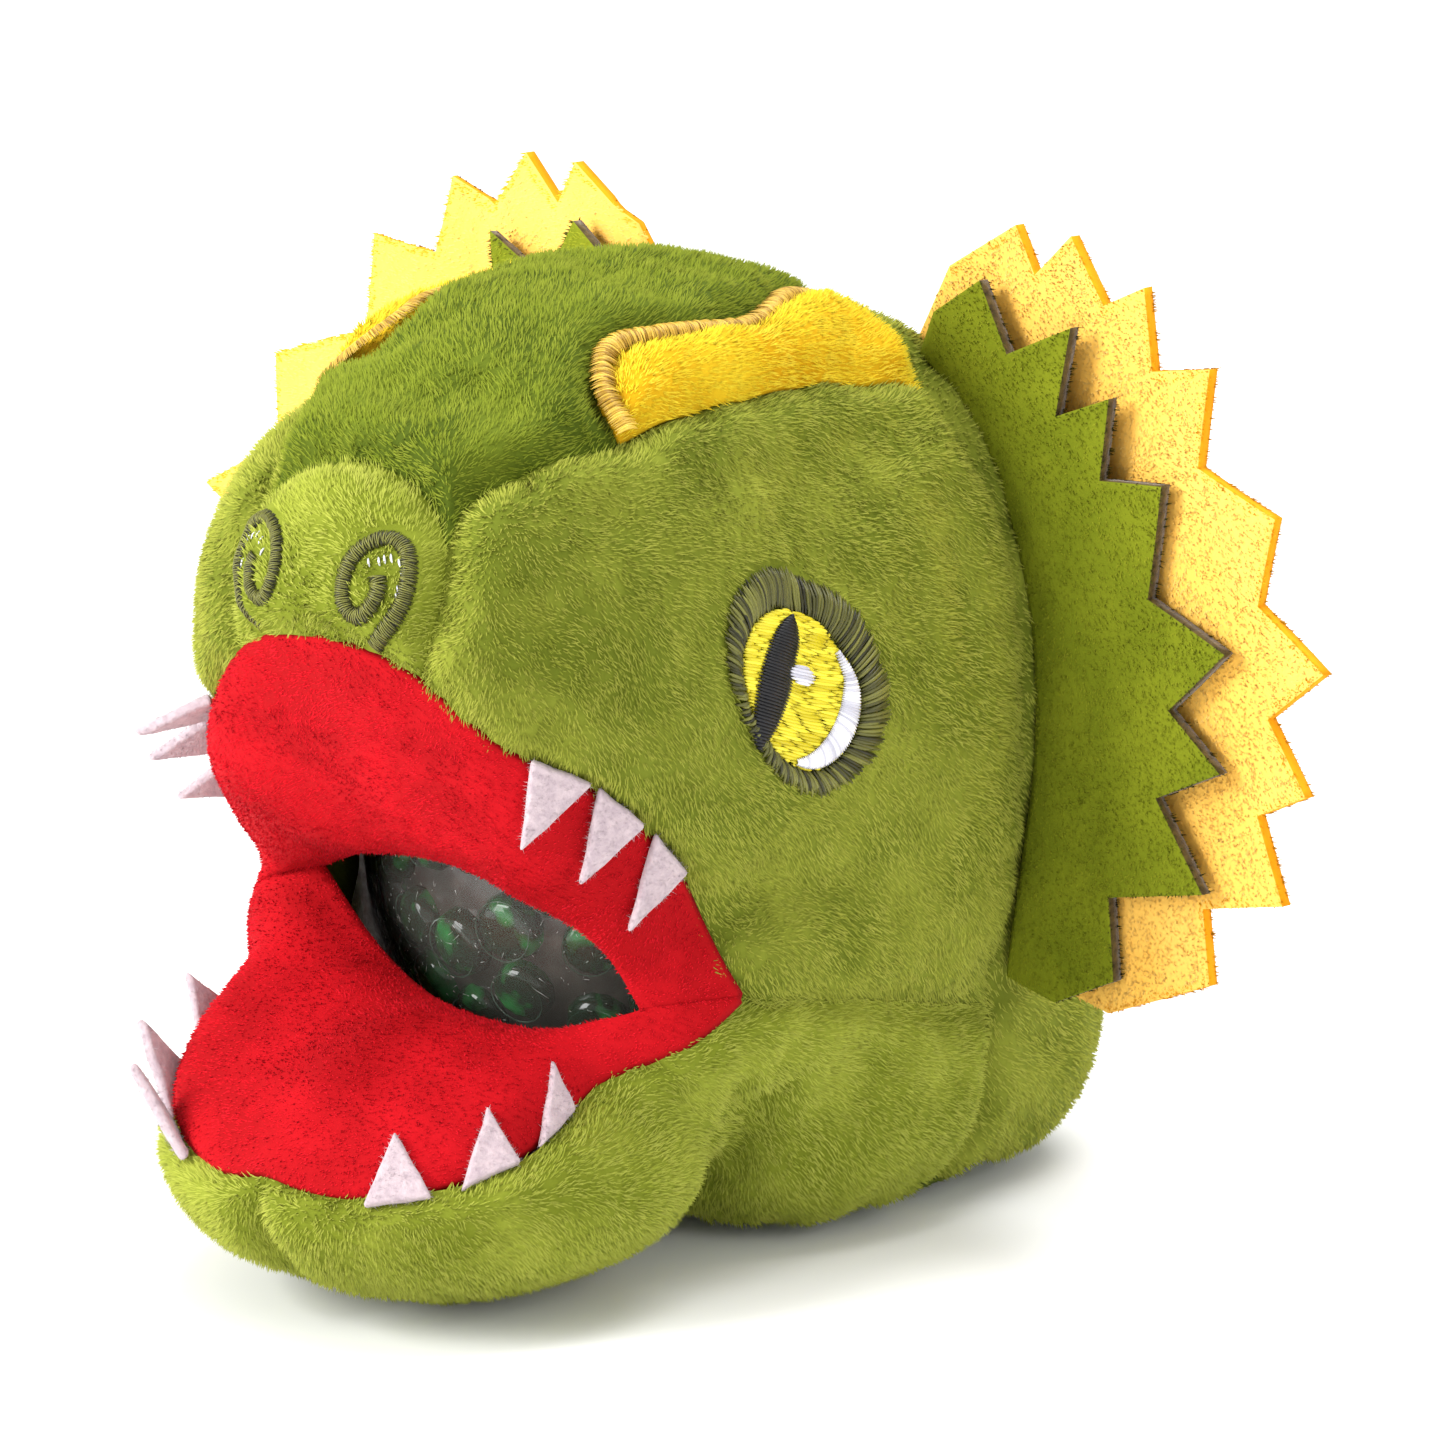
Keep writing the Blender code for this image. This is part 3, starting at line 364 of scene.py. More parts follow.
def felt(name, light, dark):
    """Needled wool-blend felt: matted fibres give a soft mottled white without a thread pattern."""
    material, tree, shader = new_finish(name, Roughness=0.95, Sheen_Weight=0.3, Sheen_Roughness=0.5,
                                        Specular_IOR_Level=0.2)
    place = add(tree, "TexCoord").outputs["Object"]
    mat = add(tree, "TexNoise", {"Vector": place},
              {"Scale": 1 / (0.9 * MM), "Detail": 5.0, "Roughness": 0.65})
    spread = add(tree, "MapRange", {"Value": mat.outputs["Fac"]}, {"From Min": 0.35, "From Max": 0.65})
    colour = add(tree, "Mix", {"Factor": spread.outputs["Result"]}, {LOW: linear(dark), HIGH: linear(light)},
                 data_type="RGBA")
    tree.links.new(colour.outputs[BLENDED], shader.inputs["Base Color"])
    bump = add(tree, "Bump", {"Height": mat.outputs["Fac"]}, {"Strength": 0.6, "Distance": 0.35 * MM})
    tree.links.new(bump.outputs["Normal"], shader.inputs["Normal"])
    return material


def thread(name, dark, light):
    """Trilobal polyester embroidery thread: smooth filaments with a silky gleam. Each stitch is painted a
    little lighter or darker, a painted sheen for its changing lie, and the light colour serves as painted
    glints."""
    material, tree, shader = new_finish(name, Roughness=0.4, Sheen_Weight=0.05, Sheen_Roughness=0.3,
                                        Specular_IOR_Level=0.35)
    place = add(tree, "TexCoord").outputs["Object"]
    shade = add(tree, "Attribute", attribute_name="shade").outputs["Fac"]
    along = add(tree, "Attribute", attribute_name="along").outputs["Fac"]
    filament = add(tree, "TexNoise", {"Vector": place}, {"Scale": 1 / (0.35 * MM), "Detail": 2.0})
    end = add(tree, "MapRange", {"Value": along},
              {"From Min": 0.0, "From Max": 1.0, "To Min": 0.8, "To Max": 1.0})
    lie = add(tree, "Math", {0: shade, 1: end.outputs["Result"]}, operation="MULTIPLY")
    colour = add(tree, "Mix", {"Factor": lie.outputs[0]}, {LOW: linear(dark), HIGH: linear(light)},
                 data_type="RGBA")
    tree.links.new(colour.outputs[BLENDED], shader.inputs["Base Color"])
    bump = add(tree, "Bump", {"Height": filament.outputs["Fac"]}, {"Strength": 0.4, "Distance": 0.1 * MM})
    tree.links.new(bump.outputs["Normal"], shader.inputs["Normal"])
    return material


def clear_rubber(name):
    """Dip-moulded thermoplastic rubber: a thin cloudy grey skin, scuffed in patches, that lets the beads
    show through."""
    material, tree, shader = new_finish(name, Base_Color=linear("#7C7A72"), IOR=1.45, Alpha=0.2)
    place = add(tree, "TexCoord").outputs["Object"]
    wear = add(tree, "TexNoise", {"Vector": place},
               {"Scale": 1 / (1.6 * MM), "Detail": 6.0, "Roughness": 0.7})
    dull = add(tree, "MapRange", {"Value": wear.outputs["Fac"]},
               {"From Min": 0.4, "From Max": 0.75, "To Min": 0.12, "To Max": 0.5})
    tree.links.new(dull.outputs["Result"], shader.inputs["Roughness"])
    bump = add(tree, "Bump", {"Height": wear.outputs["Fac"]}, {"Strength": 0.12, "Distance": 0.1 * MM})
    tree.links.new(bump.outputs["Normal"], shader.inputs["Normal"])
    return material


def gel(name, depth_shade, glow, roughness=0.08):
    """Water-swollen gel: smooth beads, a dark green painted as shade where they are deep, mixed in noise
    clouds with a brighter green painted as glow where light comes out.
    """
    material, tree, shader = new_finish(name, Roughness=roughness, IOR=1.36, Coat_Weight=0.3)
    place = add(tree, "TexCoord").outputs["Object"]
    cloud = add(tree, "TexNoise", {"Vector": place}, {"Scale": 1 / (3.5 * MM), "Detail": 2.0})
    spread = add(tree, "MapRange", {"Value": cloud.outputs["Fac"]}, {"From Min": 0.52, "From Max": 0.74})
    colour = add(tree, "Mix", {"Factor": spread.outputs["Result"]}, {LOW: linear(depth_shade), HIGH: linear(glow)},
                 data_type="RGBA")
    tree.links.new(colour.outputs[BLENDED], shader.inputs["Base Color"])
    return material


def fibre(name):
    """Loose white polyester staple, as in the filling and in the lint it sheds."""
    return felt(name, "#F2F1EC", "#CFCDC6")


# Plush colours run root, middle, tip, patch; each root colour is a darker painted shade for the depth of the
# pile.
GREEN = plush("velboa_plush_green", "#606A1B", "#8D9531", "#ACAE4A", "#999F39")
CROWN_GREEN = plush("velboa_plush_crown_green", "#44520E", "#6E7C1B", "#88912E", "#778422")
# A lighter copy of the cheek green for the nose and the jaw, which face the lamps: painted light.
GREEN_PAINTED_LIT = plush("velboa_plush_green_painted_lit", "#6A741C", "#949E35", "#B1B54F", "#A0A83E")
# The base green is darker all over: painted shade under the head, where it stands on the floor.
BASE_GREEN_PAINTED_SHADE = plush("velboa_plush_base_green_painted_shade", "#3E4D0D", "#67751D", "#7E892E", "#6F7C23")
FRILL_GREEN = plush("velboa_plush_frill_green", "#6D7713", "#848C1C", "#9BA028", "#8D9420")
SINGED_GREEN = plush("velboa_plush_singed_edge", "#1E1A06", "#3A360E", "#5F6420", "#45430F")
YELLOW = plush("velboa_plush_yellow", "#C4940B", "#EAC921", "#F4DD3F", "#EFD32C")
FRILL_YELLOW = plush("velboa_plush_frill_yellow", "#FFC659", "#FFC860", "#FFD37A", "#FFCD68")
# Orange for the yellow flaps' edge band and cut sides: painted shade on the pile seen side-on at the edge.
FRILL_EDGE_SHADE_ORANGE = plush("velboa_plush_frill_edge_painted_shade_orange", "#E68E08", "#F9A516", "#FFB82E", "#FBAE20")
RED = plush("velboa_plush_red", "#9A040D", "#CA0B1A", "#DB1A2A", "#D1101E")
CUT_BROWN = felt("laser_cut_plush_edge_brown", "#5A4A1E", "#33270E")
FELT_WHITE = felt("needled_felt_white", "#C0AFB3", "#A9989F")
OLIVE_THREAD = thread("polyester_thread_olive", "#1E1E06", "#777735")
YELLOW_THREAD = thread("polyester_thread_yellow", "#C2B214", "#F2E645")
BLACK_THREAD = thread("polyester_thread_black", "#040406", "#141419")
GREY_THREAD = thread("polyester_thread_silver_grey", "#B4B4C2", "#F1F1F8")
GOLD_THREAD = thread("polyester_thread_gold", "#8A6410", "#E2BC4A")
CLEAR_SKIN = clear_rubber("dip_moulded_clear_rubber")
GEL_BEADS = gel("water_gel_beads_dark_green", "#06210F", "#1C8A3C")
BEAD_RIM = gel("water_gel_bead_rim", "#3E5A4A", "#7F9888")
# The water is an opaque ball in a dark grey: painted shade for the inside of the ball, seen through the skin.
GEL_WATER_PAINTED_SHADE = gel("water_between_the_beads_painted_shade", "#38332F", "#55504A", roughness=0.3)
LINT = fibre("lint_on_the_ball")
FILLING = fibre("crimped_fibre_filling")


# --- making meshes ---------------------------------------------------------------------------------


def places_of(mesh):
    places = np.zeros(len(mesh.vertices) * 3, np.float32)
    mesh.vertices.foreach_get("co", places)
    return places.reshape(-1, 3).astype(float)


def set_places(mesh, places):
    mesh.vertices.foreach_set("co", np.asarray(places, np.float32).ravel())
    mesh.update()


def give_value(mesh, name, values):
    mesh.attributes.new(name, "FLOAT", "POINT").data.foreach_set("value", np.asarray(values, np.float32))


def started(create, **settings):
    """A builder with one basic shape in it, made by a bmesh.ops.create_ operator."""
    builder = bmesh.new()
    create(builder, **settings)
    return builder


def build_into(mesh, builder):
    builder.to_mesh(mesh)
    builder.free()
    return mesh


def to_mesh(name, builder):
    return build_into(bpy.data.meshes.new(name), builder)


def in_scene(name, data):
    item = bpy.data.objects.new(name, data)
    bpy.context.scene.collection.objects.link(item)
    return item


def to_piece(name, mesh, finish, in_millimetres=True):
    if in_millimetres:
        set_places(mesh, places_of(mesh) * MM)
    mesh.shade_smooth()
    mesh.materials.append(finish)
    return in_scene(name, mesh)


def backed(mesh, thickness, outward):
    """Close an open sheet with a back face. outward gives the way out of the cloth at places, mm."""
    builder = bmesh.new()
    builder.from_mesh(mesh)
    grown = bmesh.ops.extrude_face_region(builder, geom=builder.faces[:], use_keep_orig=True)
    back = [item for item in grown["geom"] if isinstance(item, bmesh.types.BMVert)]
    front = np.array([vert.co for vert in back])
    for vert, place in zip(back, front - outward(front) * thickness):
        vert.co = place
    bmesh.ops.recalc_face_normals(builder, faces=builder.faces[:])
    build_into(mesh, builder)


def tuft_shape():
    """A tapering three-sided tuft of fibres, root at 0 and tip at 1 along Z."""
    builder = started(bmesh.ops.create_cone, segments=3, radius1=1, radius2=0.12, depth=1, cap_ends=True)
    bmesh.ops.remove_doubles(builder, verts=builder.verts[:], dist=0.3)
    bmesh.ops.translate(builder, vec=(0, 0, 0.5), verts=builder.verts[:])
    return builder


def stitch_shape(rings=5):
    """A round thread, from 0 to 1 along Z, with pinched ends."""
    builder = started(bmesh.ops.create_cone, segments=5, radius1=1, radius2=1, depth=1, cap_ends=True)
    bmesh.ops.translate(builder, vec=(0, 0, 0.5), verts=builder.verts[:])
    long_edges = [e for e in builder.edges if abs(e.verts[0].co.z - e.verts[1].co.z) > 0.5]
    bmesh.ops.subdivide_edges(builder, edges=long_edges, cuts=rings)
    for vert in builder.verts:
        round_off = 0.25 + 0.75 * math.sin(math.pi * vert.co.z) ** 0.4
        vert.co.x *= round_off
        vert.co.y *= round_off
    return builder


def own_axes(points):
    """x, y and z of a small shape's points, to be combined with one row for each copy."""
    return (points[None, :, i, None] for i in range(3))


def sown(name, shape, put, count, finish, shades=None):
    """Many copies of a small shape as one mesh. put gives (count, n, 3) places for its own points."""
    pattern = to_mesh(name, shape)
    points = places_of(pattern)
    faces = [list(face.vertices) for face in pattern.polygons]
    bpy.data.meshes.remove(pattern)
    places = put(points)
    mesh = bpy.data.meshes.new(name)
    n = len(points)
    sizes = np.tile([len(f) for f in faces], count)
    corners = np.array(sum(faces, []))
    loops = (corners[None, :] + (np.arange(count) * n)[:, None]).ravel()
    mesh.vertices.add(count * n)
    mesh.loops.add(len(loops))
    mesh.polygons.add(len(sizes))
    mesh.vertices.foreach_set("co", places.astype(np.float32).ravel())
    mesh.loops.foreach_set("vertex_index", loops.astype(np.int32))
    mesh.polygons.foreach_set("loop_start", np.concatenate([[0], np.cumsum(sizes)[:-1]]).astype(np.int32))
    mesh.update(calc_edges=True)
    give_value(mesh, "along", np.tile(points[:, 2], count))
    chosen = CHANCE.uniform(0, 1, count) if shades is None else shades
    give_value(mesh, "shade", np.repeat(chosen, n))
    return to_piece(name, mesh, finish)


def pile_on(name, sheet, finish, length=PILE, width=PILE_WIDTH, density=PILE_DENSITY, nap=(0.0, 0.3, -0.5),
            keep=None, rough=0.35):
    """Tufts of pile on the faces of a sheet, leaning with the nap. sheet is (corners, normals), mm."""
    triangles, normals = sheet
    a, b, c = (triangles[:, i] for i in range(3))
    areas = np.linalg.norm(np.cross(b - a, c - a), axis=1) / 2
    count = int(areas.sum() * density)
    chosen = CHANCE.choice(len(areas), count, p=areas / areas.sum())
    u, v = CHANCE.uniform(0, 1, (2, count))
    flip = u + v > 1
    u, v = np.where(flip, 1 - u, u), np.where(flip, 1 - v, v)
    roots = a[chosen] + (b - a)[chosen] * u[:, None] + (c - a)[chosen] * v[:, None]
    out = unit(normals[chosen, 0] * (1 - u - v)[:, None] + normals[chosen, 1] * u[:, None]
               + normals[chosen, 2] * v[:, None])
    if keep is not None:
        kept = keep(roots)
        roots, out = roots[kept], out[kept]
        count = len(roots)
    lean = np.array(nap, float) + 0.22 * ripples(roots, 7, 11)
    lean += 0.2 * ripples(roots, 2.2, 14)
    lean -= out * (lean * out).sum(-1, keepdims=True)
    direction = unit(out + lean + CHANCE.normal(0, rough, (count, 3)) * 0.6)
    reach = length * CHANCE.uniform(0.7, 1.15, count)
    side = unit(np.cross(direction, CHANCE.normal(0, 1, (count, 3))))
    other = np.cross(direction, side)

    def put(points):
        x, y, z = own_axes(points)
        curl = (z ** 2) * 0.25 * reach[:, None, None] * unit(lean)[:, None, :]
        return (roots[:, None] - out[:, None] * 0.25 + direction[:, None] * (z * reach[:, None, None])
                + curl + (side[:, None] * x + other[:, None] * y) * (width * (1 - 0.55 * z)))

    shades = np.clip(0.5 + 0.3 * ripple(roots, 1.6, 21) + CHANCE.normal(0, 0.22, count), 0, 1)
    piece = sown(name, tuft_shape(), put, count, finish, shades)
    per = len(piece.data.vertices) // count
    soft = unit(out + 0.45 * direction + CHANCE.normal(0, 0.12, (count, 3)))
    piece.data.normals_split_custom_set_from_vertices(np.repeat(soft, per, axis=0))
    return piece


def face_triangles(mesh):
    """(corner places, corner normals) of a mesh's triangles, in the mesh's own units."""
    mesh.calc_loop_triangles()
    index = np.zeros(len(mesh.loop_triangles) * 3, np.int32)
    mesh.loop_triangles.foreach_get("vertices", index)
    index = index.reshape(-1, 3)
    normals = np.zeros(len(mesh.vertices) * 3, np.float32)
    mesh.vertices.foreach_get("normal", normals)
    return places_of(mesh)[index], normals.reshape(-1, 3).astype(float)[index]


# --- how pieces move -------------------------------------------------------------------------------


def with_head(piece):
    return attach(piece, "head")


def with_jaw(piece):
    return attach(piece, "jaw")


def with_ball(piece):
    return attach(piece, "ball")


def across_jaw(piece):
    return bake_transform(piece)


def across_lining(piece):
    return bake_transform(piece)


def across_frill(piece, side):
    """Bakes the piece's place into its mesh; the hinge's axis and the way out from it are worked out and not
    used.
    """
    hinge = next(j for j in frame["joints"] if j["name"] == f"frill_{side}_fold")
    axis = Vector(hinge["axis"]).normalized()
    outward = Vector((1 if side == "left" else -1, 0, 0))
    outward = (outward - axis * outward.dot(axis)).normalized()
    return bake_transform(piece)


def share_slot(piece):
    """Returns the piece as it is."""
    return piece


def trim(piece, carry):
    """A piece that belongs to a node and only adds to its looks."""
    return share_slot(carry(piece))


def stand_in(piece, carry, *nodes):
    """A piece that takes the place of the nodes."""
    return trim(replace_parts(piece, *nodes), carry)


# --- stuffed casing --------------------------------------------------------------------------------


def stuffed_swelling():
    """Where the stuffing pushes the casing between its seams: (places, shifts), mm, by cloth simulation.

    The whole head is one inflated casing, held along its seams.
    """
    builder = started(bmesh.ops.create_icosphere, subdivisions=5, radius=1)
    mesh = to_mesh("stuffed_casing", builder)
    places = on_skin(HEART + places_of(mesh))
    set_places(mesh, places * MM)
    casing = in_scene("stuffed_casing", mesh)
    held = casing.vertex_groups.new(name="seams")
    far = seam_distance(places)
    for i in np.nonzero(far < SEAM_HOLD)[0]:
        held.add([int(i)], 1.0, "REPLACE")
    cloth = casing.modifiers.new("stuffing", "CLOTH")
    cloth.settings.quality = 6
    cloth.settings.mass = 0.15
    cloth.settings.use_pressure = True
    cloth.settings.uniform_pressure_force = 4.0
    cloth.settings.shrink_min = -0.035
    cloth.settings.vertex_group_mass = "seams"
    cloth.settings.effector_weights.gravity = 0.0
    scene = bpy.context.scene
    for step in range(1, 21):
        scene.frame_set(step)
    swollen = casing.evaluated_get(bpy.context.evaluated_depsgraph_get())
    shifts = places_of(swollen.data) / MM - places
    scene.frame_set(1)
    bpy.data.objects.remove(casing)
    reach = np.linalg.norm(shifts, axis=1, keepdims=True)
    return places, shifts * np.minimum(1, SWELL_CAP / np.maximum(reach, 1e-6))


SWELLING = stuffed_swelling()
SWELL_TREE = tree_of(SWELLING[0]) if SWELLING else None


def swell(places, normals, far):
    """Places on the skin moved out by the stuffing."""
    if SWELLING is None:
        return places + normals * (PUFF * (1 - np.exp(-(far / PUFF_REACH) ** 2)))[:, None]
    moved = places.copy()
    shifts = SWELLING[1]
    for i, place in enumerate(places):
        near = SWELL_TREE.find_n(place, 4)
        weights = [1 / (distance + 0.2) ** 2 for _, _, distance in near]
        moved[i] += sum(shifts[k] * w for (_, k, _), w in zip(near, weights)) / sum(weights)
    return moved


FOLD_LINE = on_skin(smooth_curve(JAW_FOLD + (MOUTH_CORNER,))(np.linspace(0, 1, 90)))


def dressed(places, extra=0.0):
    """Where the knitted backing lies over places on the skin: swollen, pinched at seams and creased."""
    normals = skin_normals(places)
    far = seam_distance(places)
    fold = np.linalg.norm(np.abs(places)[:, None] * (1, 0, 0) + places[:, None] * (0, 1, 1) - FOLD_LINE,
                          axis=-1).min(1)
    height = (extra - CLOTH_SINK - SEAM_PINCH * np.exp(-(far / SEAM_REACH) ** 2)
              - FOLD_DEPTH * np.exp(-(fold / FOLD_REACH) ** 2)
              + 0.22 * ripple(places, 11, 31) + 0.10 * ripple(places, 4.5, 32))
    return swell(places, normals, far) + normals * height[:, None]


def grid_sheet(name, steps):
    """A flat grid and its (s, t), each 0..1."""
    builder = started(bmesh.ops.create_grid, x_segments=steps[0], y_segments=steps[1], size=0.5)
    mesh = to_mesh(name, builder)
    places = places_of(mesh)
    return mesh, places[:, 0] + 0.5, places[:, 1] + 0.5


def face_outward(mesh, outward):
    """Turn the faces of a sheet so that they look along the given directions at its points."""
    _, normals = face_triangles(mesh)
    index = np.zeros(len(mesh.loop_triangles) * 3, np.int32)
    mesh.loop_triangles.foreach_get("vertices", index)
    if (normals.reshape(-1, 3) * outward[index]).sum() < 0:
        mesh.flip_normals()


def polyline_distance(points, line):
    a, b = line[:-1], line[1:]
    along = np.clip(((points[:, None] - a) * (b - a)).sum(-1) / ((b - a) ** 2).sum(-1), 0, 1)
    return np.linalg.norm(points[:, None] - (a + along[..., None] * (b - a)), axis=-1).min(1)


def frame_at_skin(centre):
    """The spot on the skin and the ways sideways and up from it."""
    spot = on_skin(np.array(centre))
    out = skin_normals(spot[None])[0]
    aside = unit(np.cross((0, 0, 1), out))
    return spot, aside, np.cross(out, aside)


EYE_SPOT, EYE_SIDE, EYE_UP = frame_at_skin(EYE_CENTRE)
NOSTRIL_SPOT, NOSTRIL_SIDE, NOSTRIL_UP = frame_at_skin(NOSTRIL_CENTRE)
LIP_LINE = on_skin(smooth_curve(UPPER_LIP_SIDE[1:])(np.linspace(0, 1, 40)))


def clear_of_embroidery(roots):
    """True where pile stands: not under the stitched eyes and nostrils and not in the seam of the lip."""
    left = roots.copy()
    left[:, 0] = np.abs(left[:, 0])
    aside, up = (left - EYE_SPOT) @ EYE_SIDE, (left - EYE_SPOT) @ EYE_UP
    (middle, rise), (half, tall) = EYE_OUTER
    eye = ((aside - middle) / half) ** 2 + ((up - rise - EYE_SLANT * (aside - middle)) / tall) ** 2 > 0.9
    across, high = (left - NOSTRIL_SPOT) @ NOSTRIL_SIDE, (left - NOSTRIL_SPOT) @ NOSTRIL_UP
    swirl = smooth_curve(NOSTRIL_LINE)(np.linspace(0, 1, 80))[:, :2]
    nostril = polyline_distance(np.stack([across, high], -1), swirl) > NOSTRIL_STROKE / 2 - 0.1
    lip = polyline_distance(left, LIP_LINE) > LIP_CLEAR
    return (eye | (left[:, 0] < 15)) & (nostril | (left[:, 1] > -50)) & lip


def plush_panel(name, sides, steps, finish, nodes, carry, side=1, extra=0.0, dome=0.0, **pile_options):
    """A stuffed panel of plush between four seams: its backing and its pile."""
    mesh, s, t = grid_sheet(name, steps)
    places = on_skin(four_sided(*sides)(s, t))
    places[:, 0] *= side
    crown = 16 * s * (1 - s) * t * (1 - t) * dome
    set_places(mesh, dressed(places, extra + crown))
    face_outward(mesh, skin_normals(places))
    options = {"keep": clear_of_embroidery, **pile_options}
    pile = pile_on(name + "_pile", face_triangles(mesh), finish, **options)
    backed(mesh, CLOTH_BACK, skin_normals)
    panel = to_piece(name, mesh, finish)
    stand_in(panel, carry, *nodes)
    trim(pile, carry)


def make_head_cloth():
    nose_top = there_and_back(NOSE_ARCH)
    # The nose panel and the jaw panels take the lighter green: painted light.
    plush_panel("nose_panel_plush",
                (there_and_back(UPPER_LIP_FRONT), nose_top, mirrored(NOSE_SIDE), NOSE_SIDE),
                (50, 44), GREEN_PAINTED_LIT, ["nose_panel"], with_head, nap=(0.0, 0.45, 0.1))
    crown_left = CROWN_FRONT_SIDE + CREST_FRONT[1:] + CREST_INNER[1:]
    plush_panel("crown_plush", (nose_top, there_and_back(CROWN_REAR), mirrored(crown_left), crown_left),
                (60, 110), CROWN_GREEN, ["crown_panel"], with_head, nap=(0.0, 0.5, 0.1), dome=0.6)
    side_outer = BASE_FRONT + SIDE_REAR[::-1][1:]
    for side_name, side in SIDES:
        plush_panel("cheek_plush_" + side_name,
                    (UPPER_LIP_SIDE + CHEEK_BOTTOM[1:], CROWN_FRONT_SIDE + CREST_OUTER[1:], NOSE_SIDE,
                     CHEEK_REAR[::-1]), (104, 78), GREEN, ["cheek_panel_" + side_name], with_head, side)
        plush_panel("brow_crest_plush_" + side_name,
                    (CREST_OUTER, CREST_INNER, CREST_FRONT, CREST_REAR), (70, 26), YELLOW,
                    ["brow_crest_" + side_name], with_head, side, extra=0.5, dome=1.3,
                    nap=(0.2, 0.5, 0.0), length=0.95)
        plush_panel("jaw_and_side_plush_" + side_name,
                    (side_outer, LOWER_LIP, THROAT[::-1] + CHIN[::-1][1:], CHEEK_BOTTOM[::-1]), (84, 84),
                    GREEN_PAINTED_LIT, ["jaw_panel_" + side_name, "lower_side_cloth_" + side_name], across_jaw,
                    side, nap=(0.0, 0.5, -0.2))
        plush_panel("back_plush_" + side_name,
                    (CREST_REAR[::-1] + CHEEK_REAR[1:] + SIDE_REAR[1:], SPINE, CROWN_REAR, BASE_REAR),
                    (100, 46), GREEN, ["back_panel_" + side_name], with_head, side,
                    density=PILE_DENSITY_BEHIND, width=PILE_WIDTH_BEHIND)


def make_base():
    """The panel that the head stands on, with pile pressed flat by the weight."""
    rim = smooth_curve(there_and_back(BASE_FRONT) + BASE_REAR[1:] + mirrored(BASE_REAR[1:-1])[::-1]
                       + (mirrored(BASE_FRONT)[-1],))
    builder = started(bmesh.ops.create_circle, cap_ends=True, cap_tris=True, segments=72, radius=1)
    bmesh.ops.subdivide_edges(builder, edges=builder.edges[:], cuts=7, use_grid_fill=True)
    mesh = to_mesh("base_plush", builder)
    flat = places_of(mesh)
    share = np.linalg.norm(flat[:, :2], axis=1)
    turn = (np.arctan2(flat[:, 1], flat[:, 0]) / math.tau) % 1.0
    middle = np.array((0, -5, 0.0))
    places = on_skin(middle + (rim(turn) - middle) * share[:, None])
    normals = skin_normals(places)
    lift = 0.9 * np.clip((share - 0.82) / 0.18, 0, 1) ** 2
    set_places(mesh, places - normals * (0.9 + lift)[:, None])
    face_outward(mesh, normals)
    # The base panel takes the darker base green: painted shade on the underside.
    pile = pile_on("base_plush_pile", face_triangles(mesh), BASE_GREEN_PAINTED_SHADE, length=0.8, nap=(0.3, 1.5, 0),
                   density=PILE_DENSITY_BEHIND, width=PILE_WIDTH_BEHIND)
    backed(mesh, CLOTH_BACK, skin_normals)
    with_head(pile)
    stand_in(to_piece("base_plush", mesh, BASE_GREEN_PAINTED_SHADE), with_head, "base_panel")


# --- mouth -----------------------------------------------------------------------------------------


def make_lining(name, lip, slit, bow, lift, node, carry, seed):
    """Red plush from the lip in to the cut edge of the slit, swollen by the filling behind it."""
    whole_lip = on_skin(smooth_curve(there_and_back(lip))(np.linspace(0, 1, 29)))
    lip_line = whole_lip - skin_normals(whole_lip) * LINING_INSET + (0, 0, lift)
    slit_line = np.array(slit) + (0, 0, lift * 0.5)
    mesh, s, t = grid_sheet(name, (130, 60))
    frame_at = four_sided(lip_line, slit_line, (lip_line[0], slit_line[0]), (lip_line[-1], slit_line[-1]))
    places = frame_at(s, t) + bow * (4 * t * (1 - t) * np.sin(math.pi * s))[:, None]
    swollen = (4 * t * (1 - t)) ** 0.6 * np.sin(math.pi * np.clip(s, 0, 1)) ** 0.5
    lumps = 0.45 * ripple(places, 12, seed) + 0.12 * ripple(places, 5, seed + 1)
    out = np.array((0, -0.5, -0.86)) if bow[2] < 0 else np.array((0, -0.35, 0.93))
    rolled = 0.9 * np.exp(-((1 - t) * 14 / 1.6) ** 2) * np.sin(math.pi * s) ** 0.5
    far_side = np.clip((-places[:, 0] - 2) / 14, 0, 1)
    roll = FAR_ROLL * far_side ** 2 * (3 - 2 * far_side) * (4 * t * (1 - t)) ** 0.6
    places += unit(np.array((-0.8, -0.6, 0.0))) * roll[:, None]
    places += out * (swollen * (1.2 + lumps) - rolled)[:, None]
    set_places(mesh, places)
    face_outward(mesh, np.tile(out, (len(places), 1)))
    pile = pile_on(name + "_pile", face_triangles(mesh), RED, length=0.6, width=0.14, density=9,
                   nap=(0.0, -0.4, -0.1))
    backed(mesh, LINING_BACK, lambda spots: np.tile(out, (len(spots), 1)))
    stand_in(to_piece(name, mesh, RED), carry, node)
    trim(pile, carry)


